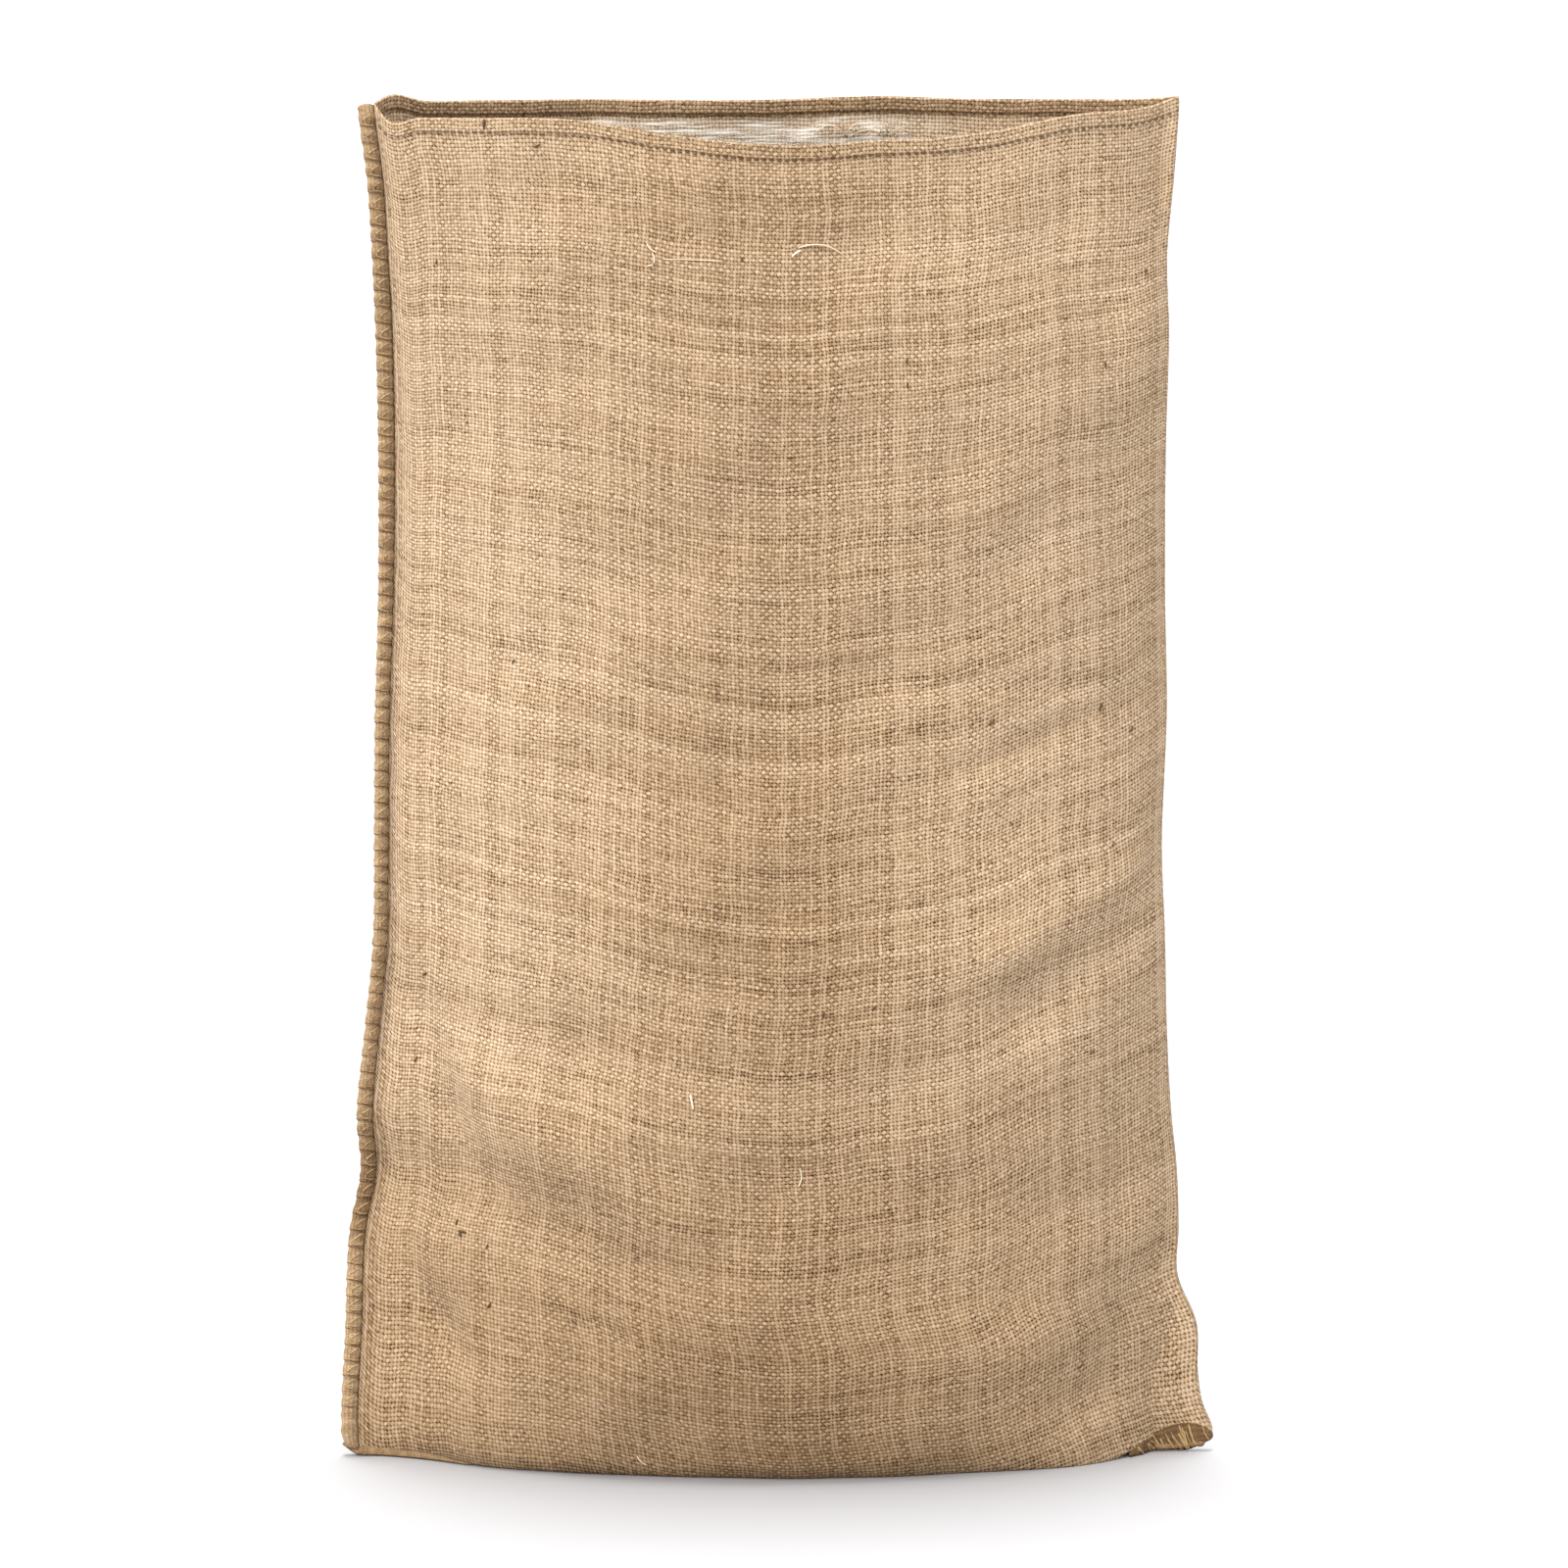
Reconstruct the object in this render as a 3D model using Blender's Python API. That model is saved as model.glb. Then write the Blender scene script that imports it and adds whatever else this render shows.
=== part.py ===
"""Burlap sack standing open on a floor: one piece of jute cloth, folded down its right side,
oversewn down its left side and along its foot, and hemmed round its mouth. Flat and empty it is
0.61 m wide and 1.016 m long.

Run with Blender 4.5. Metres, +Z up, the front faces -Y, and the origin is on the floor under the
middle of the sack.
"""

import math
from collections import namedtuple

import bmesh
import bpy
import numpy as np
from mathutils import Matrix, Vector

# Cloth and sewing. The hem is turned twice, so the cloth swells out over its depth.
CLOTH = 0.0020
HEM_DEPTH = 0.009
HEM_STEP = 0.002
HEM_SWELL = 0.0009
SEAM_ALLOWANCE = 0.0082
PRESSED_SEAM = 0.0024
STITCH_PITCH = 0.0115
STITCH_RISE = 0.0009
YARN_COAT = 0.0012
SLEEVE_ROOT = 0.0030
SLEEVE_FOOT = 0.0060
SLEEVE_EASE = 0.0005
SLEEVE_SHOULDER = 0.3
PIECE_GAP = 0.0003
LEAST_HOLLOW = 0.0005

# How finely the solids are cut.
COLUMNS = 28
ROWS_PER_LEVEL = 2
ROWS_PER_STITCH = 3
WELD_WITHIN = 2.0e-6
CLOSED_UP = 1.0e-6

# The bottom seam is turned flat under the sack, which rises a little over it.
SEAM_ROOF = 0.0045
SEAM_ROOF_HALF_WIDTH = 0.0062
SEAM_ROOF_MOST_OF_REACH = 0.6
BOTTOM_SEAM_WIDTH = 0.0095
BOTTOM_SEAM_HEIGHT = 0.0030
BOTTOM_SEAM_INSET = 0.0040
BOTTOM_SEAM_SHOULDER = 0.12
BOTTOM_SEAM_HANG = math.radians(58.0)
BOTTOM_SEAM_HANGS_FROM = 0.248
BOTTOM_SEAM_HANGS_BY = 0.278
RIGHT_EAR_LIFT = 0.0085
RIGHT_EAR_LIFT_START = 0.225
EAR_LIFT_HEIGHT = 0.080
FLAT_EAR_HALF_DEPTH = 0.010
FULL_BELLY_HALF_DEPTH = 0.036

# The underside from the outline (share 0) in to the seam's roof (share 1), and how far it has
# climbed to the roof there.
UNDERSIDE = ((0.35, 0.0), (0.70, 0.4), (1.0, 1.0))

# The mouth's sag is strongest at the hem and is gone half way down the wall.
SAG_WHOLE_ABOVE = 0.90
SAG_GONE_BELOW = 0.20
EAR_CREASE_SOFTNESS = 0.06
FOLDS_WHOLE_AT = 0.4
FOLD_END_SOFTNESS = 1.6

# One row for each level of the wall, from the mouth to the floor. left and right are where the
# side seam's stitching and the side fold are, and seam_y and fold_y how far back they lie.
# front and back are how far the two panels stand from the line between them. An ear is the
# width beside the edge where the panels lie together, and blunt is the roundness of each side:
# under 1 is a round side, and 1 is a sharp one. lean is how far the side seam turns to the
# front, in degrees.
Level = namedtuple(
    "Level",
    "height left right seam_y fold_y front back ear_left ear_right blunt_left blunt_right lean",
)
LEVELS = (
    Level(0.9690, -0.2785, 0.2760, -0.020, 0.006, 0.066, 0.060, 0.000, 0.006, 0.66, 0.92, 14),
    Level(0.9570, -0.2780, 0.2760, -0.020, 0.006, 0.067, 0.061, 0.000, 0.006, 0.66, 0.92, 24),
    Level(0.9120, -0.2730, 0.2730, -0.016, 0.005, 0.072, 0.066, 0.000, 0.005, 0.70, 0.86, 28),
    Level(0.8580, -0.2705, 0.2685, -0.009, 0.000, 0.078, 0.074, 0.000, 0.002, 0.74, 0.74, 28),
    Level(0.8020, -0.2685, 0.2700, -0.002, -0.006, 0.082, 0.079, 0.002, 0.002, 0.76, 0.70, 22),
    Level(0.7220, -0.2680, 0.2685, 0.003, -0.003, 0.086, 0.084, 0.003, 0.002, 0.76, 0.68, 28),
    Level(0.6220, -0.2700, 0.2690, 0.005, 0.003, 0.090, 0.087, 0.004, 0.002, 0.76, 0.66, 40),
    Level(0.5320, -0.2735, 0.2710, 0.002, 0.006, 0.093, 0.088, 0.004, 0.002, 0.76, 0.64, 46),
    Level(0.4420, -0.2750, 0.2680, -0.002, 0.000, 0.096, 0.090, 0.004, 0.002, 0.76, 0.64, 50),
    Level(0.3720, -0.2760, 0.2705, -0.003, -0.005, 0.098, 0.091, 0.006, 0.002, 0.80, 0.66, 48),
    Level(0.3020, -0.2825, 0.2725, -0.001, -0.003, 0.101, 0.091, 0.012, 0.002, 0.84, 0.68, 44),
    Level(0.2450, -0.2870, 0.2760, -0.005, 0.002, 0.103, 0.090, 0.018, 0.002, 0.88, 0.72, 34),
    Level(0.2020, -0.2850, 0.2805, 0.003, 0.003, 0.1035, 0.0885, 0.014, 0.003, 0.88, 0.76, 32),
    Level(0.1610, -0.2925, 0.2820, 0.000, 0.002, 0.1025, 0.0870, 0.018, 0.006, 0.88, 0.74, 30),
    Level(0.1265, -0.2945, 0.2815, -0.007, 0.000, 0.1005, 0.0850, 0.024, 0.020, 0.86, 0.68, 26),
    Level(0.0920, -0.2955, 0.2950, -0.010, -0.002, 0.0970, 0.0825, 0.027, 0.042, 0.84, 0.62, 26),
    Level(0.0560, -0.2975, 0.2960, -0.014, -0.003, 0.0915, 0.0790, 0.028, 0.054, 0.80, 0.54, 26),
    Level(0.0280, -0.2985, 0.2990, -0.017, -0.003, 0.0855, 0.0745, 0.028, 0.060, 0.80, 0.44, 24),
    Level(0.0100, -0.2980, 0.3050, -0.018, -0.003, 0.0800, 0.0700, 0.028, 0.065, 0.80, 0.40, 18),
    Level(0.0020, -0.2975, 0.3070, -0.018, -0.003, 0.0755, 0.0660, 0.030, 0.067, 0.80, 0.37, 16),
    Level(0.0000, -0.2960, 0.3060, -0.018, -0.003, 0.073, 0.063, 0.030, 0.067, 0.80, 0.35, 16),
)

# How far below the top of the table the hem's two edges hang, at shares of the mouth's width.
Sag = namedtuple("Sag", "across front back")
MOUTH_SAG = (
    Sag(0.000, 0.0125, 0.0125),
    Sag(0.013, 0.0210, 0.0085),
    Sag(0.060, 0.0200, 0.0130),
    Sag(0.120, 0.0190, 0.0140),
    Sag(0.250, 0.0195, 0.0150),
    Sag(0.380, 0.0295, 0.0168),
    Sag(0.500, 0.0358, 0.0169),
    Sag(0.620, 0.0335, 0.0146),
    Sag(0.750, 0.0300, 0.0159),
    Sag(0.880, 0.0186, 0.0140),
    Sag(0.960, 0.0165, 0.0125),
    Sag(1.000, 0.0100, 0.0100),
)

# Soft creases: each runs from (x0, z0) to (x1, z1), and rise is outwards, so a hollow is below 0.
Fold = namedtuple("Fold", "x0 z0 x1 z1 width rise")
FRONT_FOLDS = (
    Fold(-0.262, 0.860, -0.258, 0.460, 0.010, -0.0030),
    Fold(-0.268, 0.360, -0.214, 0.212, 0.012, -0.0080),
    Fold(-0.214, 0.300, -0.120, 0.200, 0.034, 0.0065),
    Fold(-0.284, 0.165, -0.222, 0.085, 0.013, -0.0050),
    Fold(0.165, 0.372, 0.262, 0.448, 0.016, 0.0040),
    Fold(0.190, 0.352, 0.262, 0.410, 0.014, -0.0065),
    Fold(0.130, 0.512, 0.240, 0.550, 0.011, -0.0025),
    Fold(0.276, 0.140, 0.214, 0.040, 0.014, -0.0060),
    Fold(-0.046, 0.950, -0.040, 0.600, 0.028, 0.0035),
    Fold(0.120, 0.960, 0.235, 0.820, 0.030, 0.0040),
    Fold(-0.150, 0.090, 0.120, 0.080, 0.030, 0.0030),
    Fold(0.255, 0.300, 0.240, 0.180, 0.018, -0.0040),
)
BACK_FOLDS = (
    Fold(-0.235, 0.140, -0.170, 0.060, 0.016, -0.0060),
    Fold(0.240, 0.150, 0.180, 0.050, 0.016, -0.0060),
    Fold(0.020, 0.940, 0.030, 0.420, 0.030, 0.0035),
    Fold(-0.225, 0.560, -0.120, 0.470, 0.018, -0.0045),
    Fold(-0.215, 0.585, -0.100, 0.490, 0.020, 0.0040),
    Fold(0.110, 0.330, 0.225, 0.400, 0.016, -0.0050),
    Fold(0.100, 0.900, 0.220, 0.780, 0.026, -0.0035),
)

# Colours are linear.
JUTE = (0.56, 0.40, 0.23, 1.0)
OVERSEWING = (0.42, 0.28, 0.14, 1.0)


def new_material(name, colour):
    material = bpy.data.materials.new(name)
    material.use_nodes = True
    shader = material.node_tree.nodes["Principled BSDF"]
    shader.inputs["Base Color"].default_value = colour
    shader.inputs["Roughness"].default_value = 0.95
    shader.inputs["Metallic"].default_value = 0.0
    return material


def smooth_step(low, high, value):
    share = np.clip((value - low) / (high - low), 0.0, 1.0)
    return share * share * (3.0 - 2.0 * share)


def levels_at(rows):
    """A smooth curve through the rows of LEVELS, read at fractional row numbers."""
    table = np.asarray(LEVELS, float)
    rows = np.atleast_1d(rows)
    row = np.clip(rows.astype(int), 0, len(table) - 2)
    share = (rows - row)[:, None]
    before, after = table[np.maximum(row - 1, 0)], table[np.minimum(row + 2, len(table) - 1)]
    here, there = table[row], table[row + 1]
    values = 0.5 * (
        2.0 * here
        + (there - before) * share
        + (2.0 * before - 5.0 * here + 4.0 * there - after) * share**2
        + (3.0 * here - before - 3.0 * there + after) * share**3
    )
    return Level(*(values[:, i : i + 1] for i in range(len(Level._fields))))


def crease(folds, x, z):
    """How far a panel is pushed outwards at (x, z) by its folds: a bell across each fold."""
    total = np.zeros_like(x)
    for fold in folds:
        length = math.hypot(fold.x1 - fold.x0, fold.z1 - fold.z0)
        run_x, run_z = (fold.x1 - fold.x0) / length, (fold.z1 - fold.z0) / length
        along = (x - fold.x0) * run_x + (z - fold.z0) * run_z
        across = (z - fold.z0) * run_x - (x - fold.x0) * run_z
        beyond = np.maximum(np.maximum(-along, along - length), 0.0)
        end_width = FOLD_END_SOFTNESS * fold.width
        bell = np.exp(-((across / fold.width) ** 2) - (beyond / end_width) ** 2)
        total += fold.rise * bell
    return total


def fullness(level, across):
    """0 beside an edge and 1 in the middle: flat in the ear, then a rounded rise."""
    width = level.right - level.left
    on_left = across < 0.5
    distance = np.where(on_left, across, 1.0 - across) * width
    ear = np.where(on_left, level.ear_left, level.ear_right)
    blunt = np.where(on_left, level.blunt_left, level.blunt_right)
    share = (distance - ear) / (width / 2.0 - ear)
    soft = np.minimum(EAR_CREASE_SOFTNESS, ear / (width / 2.0 - ear)) + 1.0e-6
    start = np.clip(share + soft, 0.0, 2.0 * soft) ** 2 / (4.0 * soft)
    rise = np.where(share < soft, start, share)
    return (1.0 - (1.0 - np.clip(rise, 0.0, 1.0)) ** 2) ** blunt


def seam_height(x):
    """The height of the cloth above the floor along the bottom seam, at x."""
    lift = smooth_step(RIGHT_EAR_LIFT_START, LEVELS[-1].right, x)
    return SEAM_ROOF + RIGHT_EAR_LIFT * lift


def flat_ear(across):
    """1 where the foot of the sack is only as deep as its seam, and 0 where it is full."""
    foot = levels_at(len(LEVELS) - 1.0)
    half_depth = foot.front * fullness(foot, across)
    return 1.0 - smooth_step(FLAT_EAR_HALF_DEPTH, FULL_BELLY_HALF_DEPTH, half_depth)


def mouth_sag(across, front):
    """How far the hem hangs below the top of the table, as a smooth curve through MOUTH_SAG."""
    table = np.asarray(MOUTH_SAG, float)
    knots, drops = table[:, 0], table[:, 1 if front else 2]
    slopes = np.gradient(drops, knots)
    row = np.clip(np.searchsorted(knots, across, side="right") - 1, 0, len(knots) - 2)
    gap = knots[row + 1] - knots[row]
    t = (across - knots[row]) / gap
    rise = drops[row + 1] - drops[row]
    cubic = (3.0 - 2.0 * t) * t * t
    bend = t * (1.0 - t) * gap * (slopes[row] * (1.0 - t) - slopes[row + 1] * t)
    return drops[row] + rise * cubic + bend


def panel(front, inner):
    """The points of one face of one panel, from the mouth down the wall and in to the seam.

    Each row of points runs from the left edge to the right edge. The inner face is inset by
    the cloth's thickness, and stays on its own side of the line between the edges.
    """
    side = -1.0 if front else 1.0
    rows = np.arange(ROWS_PER_LEVEL * (len(LEVELS) - 1) + 1) / ROWS_PER_LEVEL
    level = levels_at(rows)
    across = 0.5 * (1.0 - np.cos(np.pi * np.arange(COLUMNS + 1) / COLUMNS))[None, :]

    inset = CLOTH if inner else 0.0
    x = level.left + inset + (level.right - level.left - 2.0 * inset) * across
    full = fullness(level, across)
    hem_line = LEVELS[0].height - HEM_DEPTH
    hem = HEM_SWELL * smooth_step(hem_line - HEM_STEP, hem_line, level.height)
    folds = crease(FRONT_FOLDS if front else BACK_FOLDS, x, level.height + 0.0 * x)
    stand = (level.front if front else level.back) * full
    stand = stand + folds * smooth_step(0.0, FOLDS_WHOLE_AT, full)
    stand = stand - inset - hem if inner else stand + hem
    stand = np.maximum(stand, LEAST_HOLLOW if inner else LEAST_HOLLOW + CLOTH)
    stand[:, 0] = 0.0 if inner else PRESSED_SEAM / 2.0
    stand[:, -1] = 0.0
    y = level.seam_y * (1.0 - across) + level.fold_y * across + side * stand

    fade = smooth_step(SAG_GONE_BELOW, SAG_WHOLE_ABOVE, level.height)
    near_floor = np.clip(1.0 - level.height / EAR_LIFT_HEIGHT, 0.0, 1.0)
    lift = flat_ear(across) * seam_height(x[-1:]) + inset
    z = level.height - mouth_sag(across, front) * fade + lift * near_floor
    wall = np.stack([x, y, z], axis=-1)

    # Under the sack: flat at first, then up to the bottom seam and in to it.
    reach, outline = stand[-1], wall[-1]
    roof = np.minimum(SEAM_ROOF_HALF_WIDTH, SEAM_ROOF_MOST_OF_REACH * reach)
    under = []
    for share, climb in UNDERSIDE:
        out = reach * (1.0 - share) + roof * share
        y = outline[:, 1] - side * (reach - out)
        z = outline[:, 2] * (1.0 - climb) + (seam_height(outline[:, 0]) + inset) * climb
        under.append(np.stack([outline[:, 0], y, z], axis=-1))
    seam = under[-1].copy()
    seam[:, 1] = outline[:, 1] - side * reach
    return np.concatenate([wall, np.stack(under), seam[None]])


def seam_lines():
    """Down the side seam, row by row: its stitching, and the ways outwards and to the back."""
    grid = panel(front=True, inner=False)
    rows = np.arange(ROWS_PER_LEVEL * (len(LEVELS) - 1) + 1) / ROWS_PER_LEVEL
    level = levels_at(rows)
    walls, under = len(rows), len(grid) - len(rows)
    stitching = grid[:, 0].copy()
    stitching[:walls, 1] = level.seam_y[:, 0]
    stitching[walls:, 1] = level.seam_y[-1, 0]
    lean = np.radians(np.concatenate([level.lean[:, 0], np.repeat(level.lean[-1, 0], under)]))
    out = np.stack([-np.cos(lean), -np.sin(lean), 0.0 * lean], axis=-1)
    over = np.stack([-np.sin(lean), np.cos(lean), 0.0 * lean], axis=-1)
    return stitching, out, over


def with_allowance(grid, front):
    """The panel's points with its seam allowance before them: its edge, then its face."""
    stitching, out, over = seam_lines()
    side = -1.0 if front else 1.0
    edge = stitching + out * (SEAM_ALLOWANCE + PRESSED_SEAM / 3.0)
    half_thick = np.abs(grid[:, 0, 1] - stitching[:, 1])[:, None]
    face = stitching + out * SEAM_ALLOWANCE + over * side * half_thick
    return np.concatenate([edge[:, None], face[:, None], grid], axis=1)


def add_grid(mesh, grid, flip):
    """Add a grid of points as four-sided faces."""
    points = [[mesh.verts.new(point) for point in row] for row in grid]
    for upper, lower in zip(points, points[1:]):
        for i in range(len(upper) - 1):
            corners = [upper[i], upper[i + 1], lower[i + 1], lower[i]]
            mesh.faces.new(corners[::-1] if flip else corners)


def weld(mesh):
    """Join the points that lie together, and drop the faces that have closed up."""
    bmesh.ops.remove_doubles(mesh, verts=mesh.verts, dist=WELD_WITHIN)
    bmesh.ops.dissolve_degenerate(mesh, edges=mesh.edges, dist=CLOSED_UP)
    bmesh.ops.recalc_face_normals(mesh, faces=mesh.faces)


def new_object(name, mesh, material, collection):
    data = bpy.data.meshes.new(name)
    weld(mesh)
    mesh.to_mesh(data)
    mesh.free()
    data.materials.append(material)
    data.shade_smooth()
    thing = bpy.data.objects.new(name, data)
    collection.objects.link(thing)
    return thing


def build_cloth(collection, material):
    """The cloth as one closed body: an outer face, an inner face, and the hem between them."""
    mesh = bmesh.new()
    rims = {}
    for front in (True, False):
        outer = with_allowance(panel(front, inner=False), front)
        inner = panel(front, inner=True)
        add_grid(mesh, outer, flip=not front)
        add_grid(mesh, inner, flip=front)
        rims[front] = outer[0], inner[0]
        add_grid(mesh, np.stack([inner[0], outer[0, 2:]]), flip=not front)
    (front_rim, inner_rim), (back_rim, _) = rims[True], rims[False]
    caps = (
        (front_rim[0], front_rim[1], back_rim[1]),
        (front_rim[1], front_rim[2], back_rim[2], back_rim[1]),
        (front_rim[2], inner_rim[0], back_rim[2]),
    )
    for cap in caps:
        mesh.faces.new([mesh.verts.new(point) for point in cap])
    return new_object("sack_cloth", mesh, material, collection)


# The end of the sleeve as faces between the points of its profile.
SLEEVE_CAPS = ((0, 1, 7, 8), (1, 6, 7), (1, 2, 6), (2, 5, 6), (2, 3, 4, 5))


def stitch_swell(turns):
    """The rise of the sewing yarn along a seam: 1 on each turn of yarn and 0 between two."""
    return 0.5 + 0.5 * np.cos(2.0 * np.pi * turns)


def build_side_oversewing(collection, material):
    """The yarn sewn over the side seam: a ridged sleeve, open towards the sack."""
    stitching, seam_out, seam_over = seam_lines()
    top = stitching[0, 2] - PIECE_GAP
    turns = round((top - SLEEVE_FOOT) / STITCH_PITCH)
    along = np.arange(turns * ROWS_PER_STITCH + 1) / (turns * ROWS_PER_STITCH)
    z = top + (SLEEVE_FOOT - top) * along
    base, out, over = (
        np.stack([np.interp(-z, -stitching[:, 2], line[:, axis]) for axis in range(3)], axis=-1)
        for line in (stitching, seam_out, seam_over)
    )
    swell = STITCH_RISE * stitch_swell(along * turns)[:, None]

    far = SEAM_ALLOWANCE + PRESSED_SEAM / 3.0 + SLEEVE_EASE
    inside = PRESSED_SEAM / 2.0 + SLEEVE_EASE
    coat = YARN_COAT + swell
    profile = (
        (SLEEVE_ROOT, inside),
        (far, inside),
        (far, -inside),
        (SLEEVE_ROOT, -inside),
        (SLEEVE_ROOT, -inside - coat),
        (far + SLEEVE_SHOULDER * coat, -inside - coat),
        (far + coat, 0.0),
        (far + SLEEVE_SHOULDER * coat, inside + coat),
        (SLEEVE_ROOT, inside + coat),
    )
    rings = [base + out * reach + over * rise for reach, rise in profile]
    grid = np.stack(rings + rings[:1], axis=1)
    mesh = bmesh.new()
    add_grid(mesh, grid, flip=False)
    for end in (grid[0], grid[-1]):
        for cap in SLEEVE_CAPS:
            mesh.faces.new([mesh.verts.new(end[i]) for i in cap])
    return new_object("side_oversewing", mesh, material, collection)


def build_bottom_oversewing(collection, material):
    """The bottom seam, oversewn and turned flat under the sack, and hanging at the right ear."""
    roof = panel(front=True, inner=False)[-1]
    start, end = roof[0, 0] + BOTTOM_SEAM_INSET, roof[-1, 0] - BOTTOM_SEAM_INSET
    turns = round((end - start) / STITCH_PITCH)
    along = np.arange(turns * ROWS_PER_STITCH + 1) / (turns * ROWS_PER_STITCH)
    x = start + (end - start) * along
    swell = STITCH_RISE * stitch_swell(along * turns)
    half = (BOTTOM_SEAM_HEIGHT + swell) / 2.0
    width = BOTTOM_SEAM_WIDTH + swell
    top = np.interp(x, roof[:, 0], roof[:, 2]) - PIECE_GAP
    middle_y = np.interp(x, roof[:, 0], roof[:, 1])
    hang = smooth_step(BOTTOM_SEAM_HANGS_FROM, BOTTOM_SEAM_HANGS_BY, x)
    # The free edge stays on the floor while the ear lifts, until the seam hangs at its most.
    slope = np.clip((top - 2.0 * half) / width, 0.0, math.sin(BOTTOM_SEAM_HANG))

    # Each section is six-sided: a root end, a free end, and two points on each face between.
    near, far = BOTTOM_SEAM_SHOULDER, 1.0 - BOTTOM_SEAM_SHOULDER
    profile = ((0.0, 0.0), (near, 1.0), (far, 1.0), (1.0, 0.0), (far, -1.0), (near, -1.0))
    rings = []
    for reach, rise in profile:
        out = width * (reach - 0.5 * (1.0 - hang))
        y = middle_y - out * np.sqrt(1.0 - slope**2) - rise * half * slope
        z = top - half - width * reach * slope + rise * half * np.sqrt(1.0 - slope**2)
        rings.append(np.stack([x, y, z], axis=-1))
    grid = np.stack(rings + rings[:1], axis=1)
    mesh = bmesh.new()
    add_grid(mesh, grid, flip=False)
    for end_ring in (grid[0], grid[-1]):
        mesh.faces.new([mesh.verts.new(point) for point in end_ring[:-1]])
    return new_object("bottom_oversewing", mesh, material, collection)


def stand_on_origin(collection):
    """Move the pieces together, so that the middle of their box's foot is at the origin."""
    meshes = [thing.data for thing in collection.objects]
    corners = np.array([vertex.co for mesh in meshes for vertex in mesh.vertices])
    low, high = corners.min(axis=0), corners.max(axis=0)
    shift = Vector((-(low[0] + high[0]) / 2.0, -(low[1] + high[1]) / 2.0, -low[2]))
    for mesh in meshes:
        mesh.transform(Matrix.Translation(shift))
    print("moved by", [round(value, 5) for value in shift])


def main():
    for thing in list(bpy.data.objects):
        bpy.data.objects.remove(thing, do_unlink=True)
    sack = bpy.data.collections.new("burlap_sack")
    bpy.context.scene.collection.children.link(sack)
    build_cloth(sack, new_material("jute_cloth", JUTE))
    build_side_oversewing(sack, new_material("side_sewing_yarn", OVERSEWING))
    build_bottom_oversewing(sack, new_material("bottom_sewing_yarn", OVERSEWING))
    stand_on_origin(sack)


main()
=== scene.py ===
# %% [markdown]
# # An open burlap sack
# The sack is one length of plain-weave jute, folded down its right side, oversewn down its left
# side and along its foot, and hemmed round its mouth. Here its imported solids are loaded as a
# fixed frame, and each is replaced by a finer piece: cloth with folds, a sewn hem and a real
# weave, the whipped side seam, and the thick yarn of the bottom seam.

import math

import bpy
import numpy as np
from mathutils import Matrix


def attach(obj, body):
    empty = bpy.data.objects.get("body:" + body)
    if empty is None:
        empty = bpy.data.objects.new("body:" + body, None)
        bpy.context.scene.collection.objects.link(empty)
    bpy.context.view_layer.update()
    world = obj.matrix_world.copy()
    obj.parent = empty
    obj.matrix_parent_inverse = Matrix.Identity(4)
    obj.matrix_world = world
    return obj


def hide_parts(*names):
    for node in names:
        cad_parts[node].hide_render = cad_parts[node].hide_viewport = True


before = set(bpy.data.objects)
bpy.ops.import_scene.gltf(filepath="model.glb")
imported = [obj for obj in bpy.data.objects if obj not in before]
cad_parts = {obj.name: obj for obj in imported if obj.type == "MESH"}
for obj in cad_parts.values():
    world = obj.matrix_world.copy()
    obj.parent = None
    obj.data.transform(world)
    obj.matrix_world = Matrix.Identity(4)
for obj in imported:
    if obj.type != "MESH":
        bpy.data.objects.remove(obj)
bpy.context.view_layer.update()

# %% [markdown]
# ## The measures of the sack
# Every length is in metres. The table has one row for each level of the wall, from the mouth to
# the floor. `left` and `right` are where the side seam and the side fold stand, `seam_y` and
# `fold_y` how far back they lie, and `front` and `back` how far the two panels bulge from the
# line between them. An ear is the width beside an edge where the two panels lie flat together,
# and `blunt` is how round the bulge is beside it. `lean` is how far the seam turns to the front,
# in degrees. It could be sculpted by eye, but numbers a maker can read are easier to change.

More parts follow.
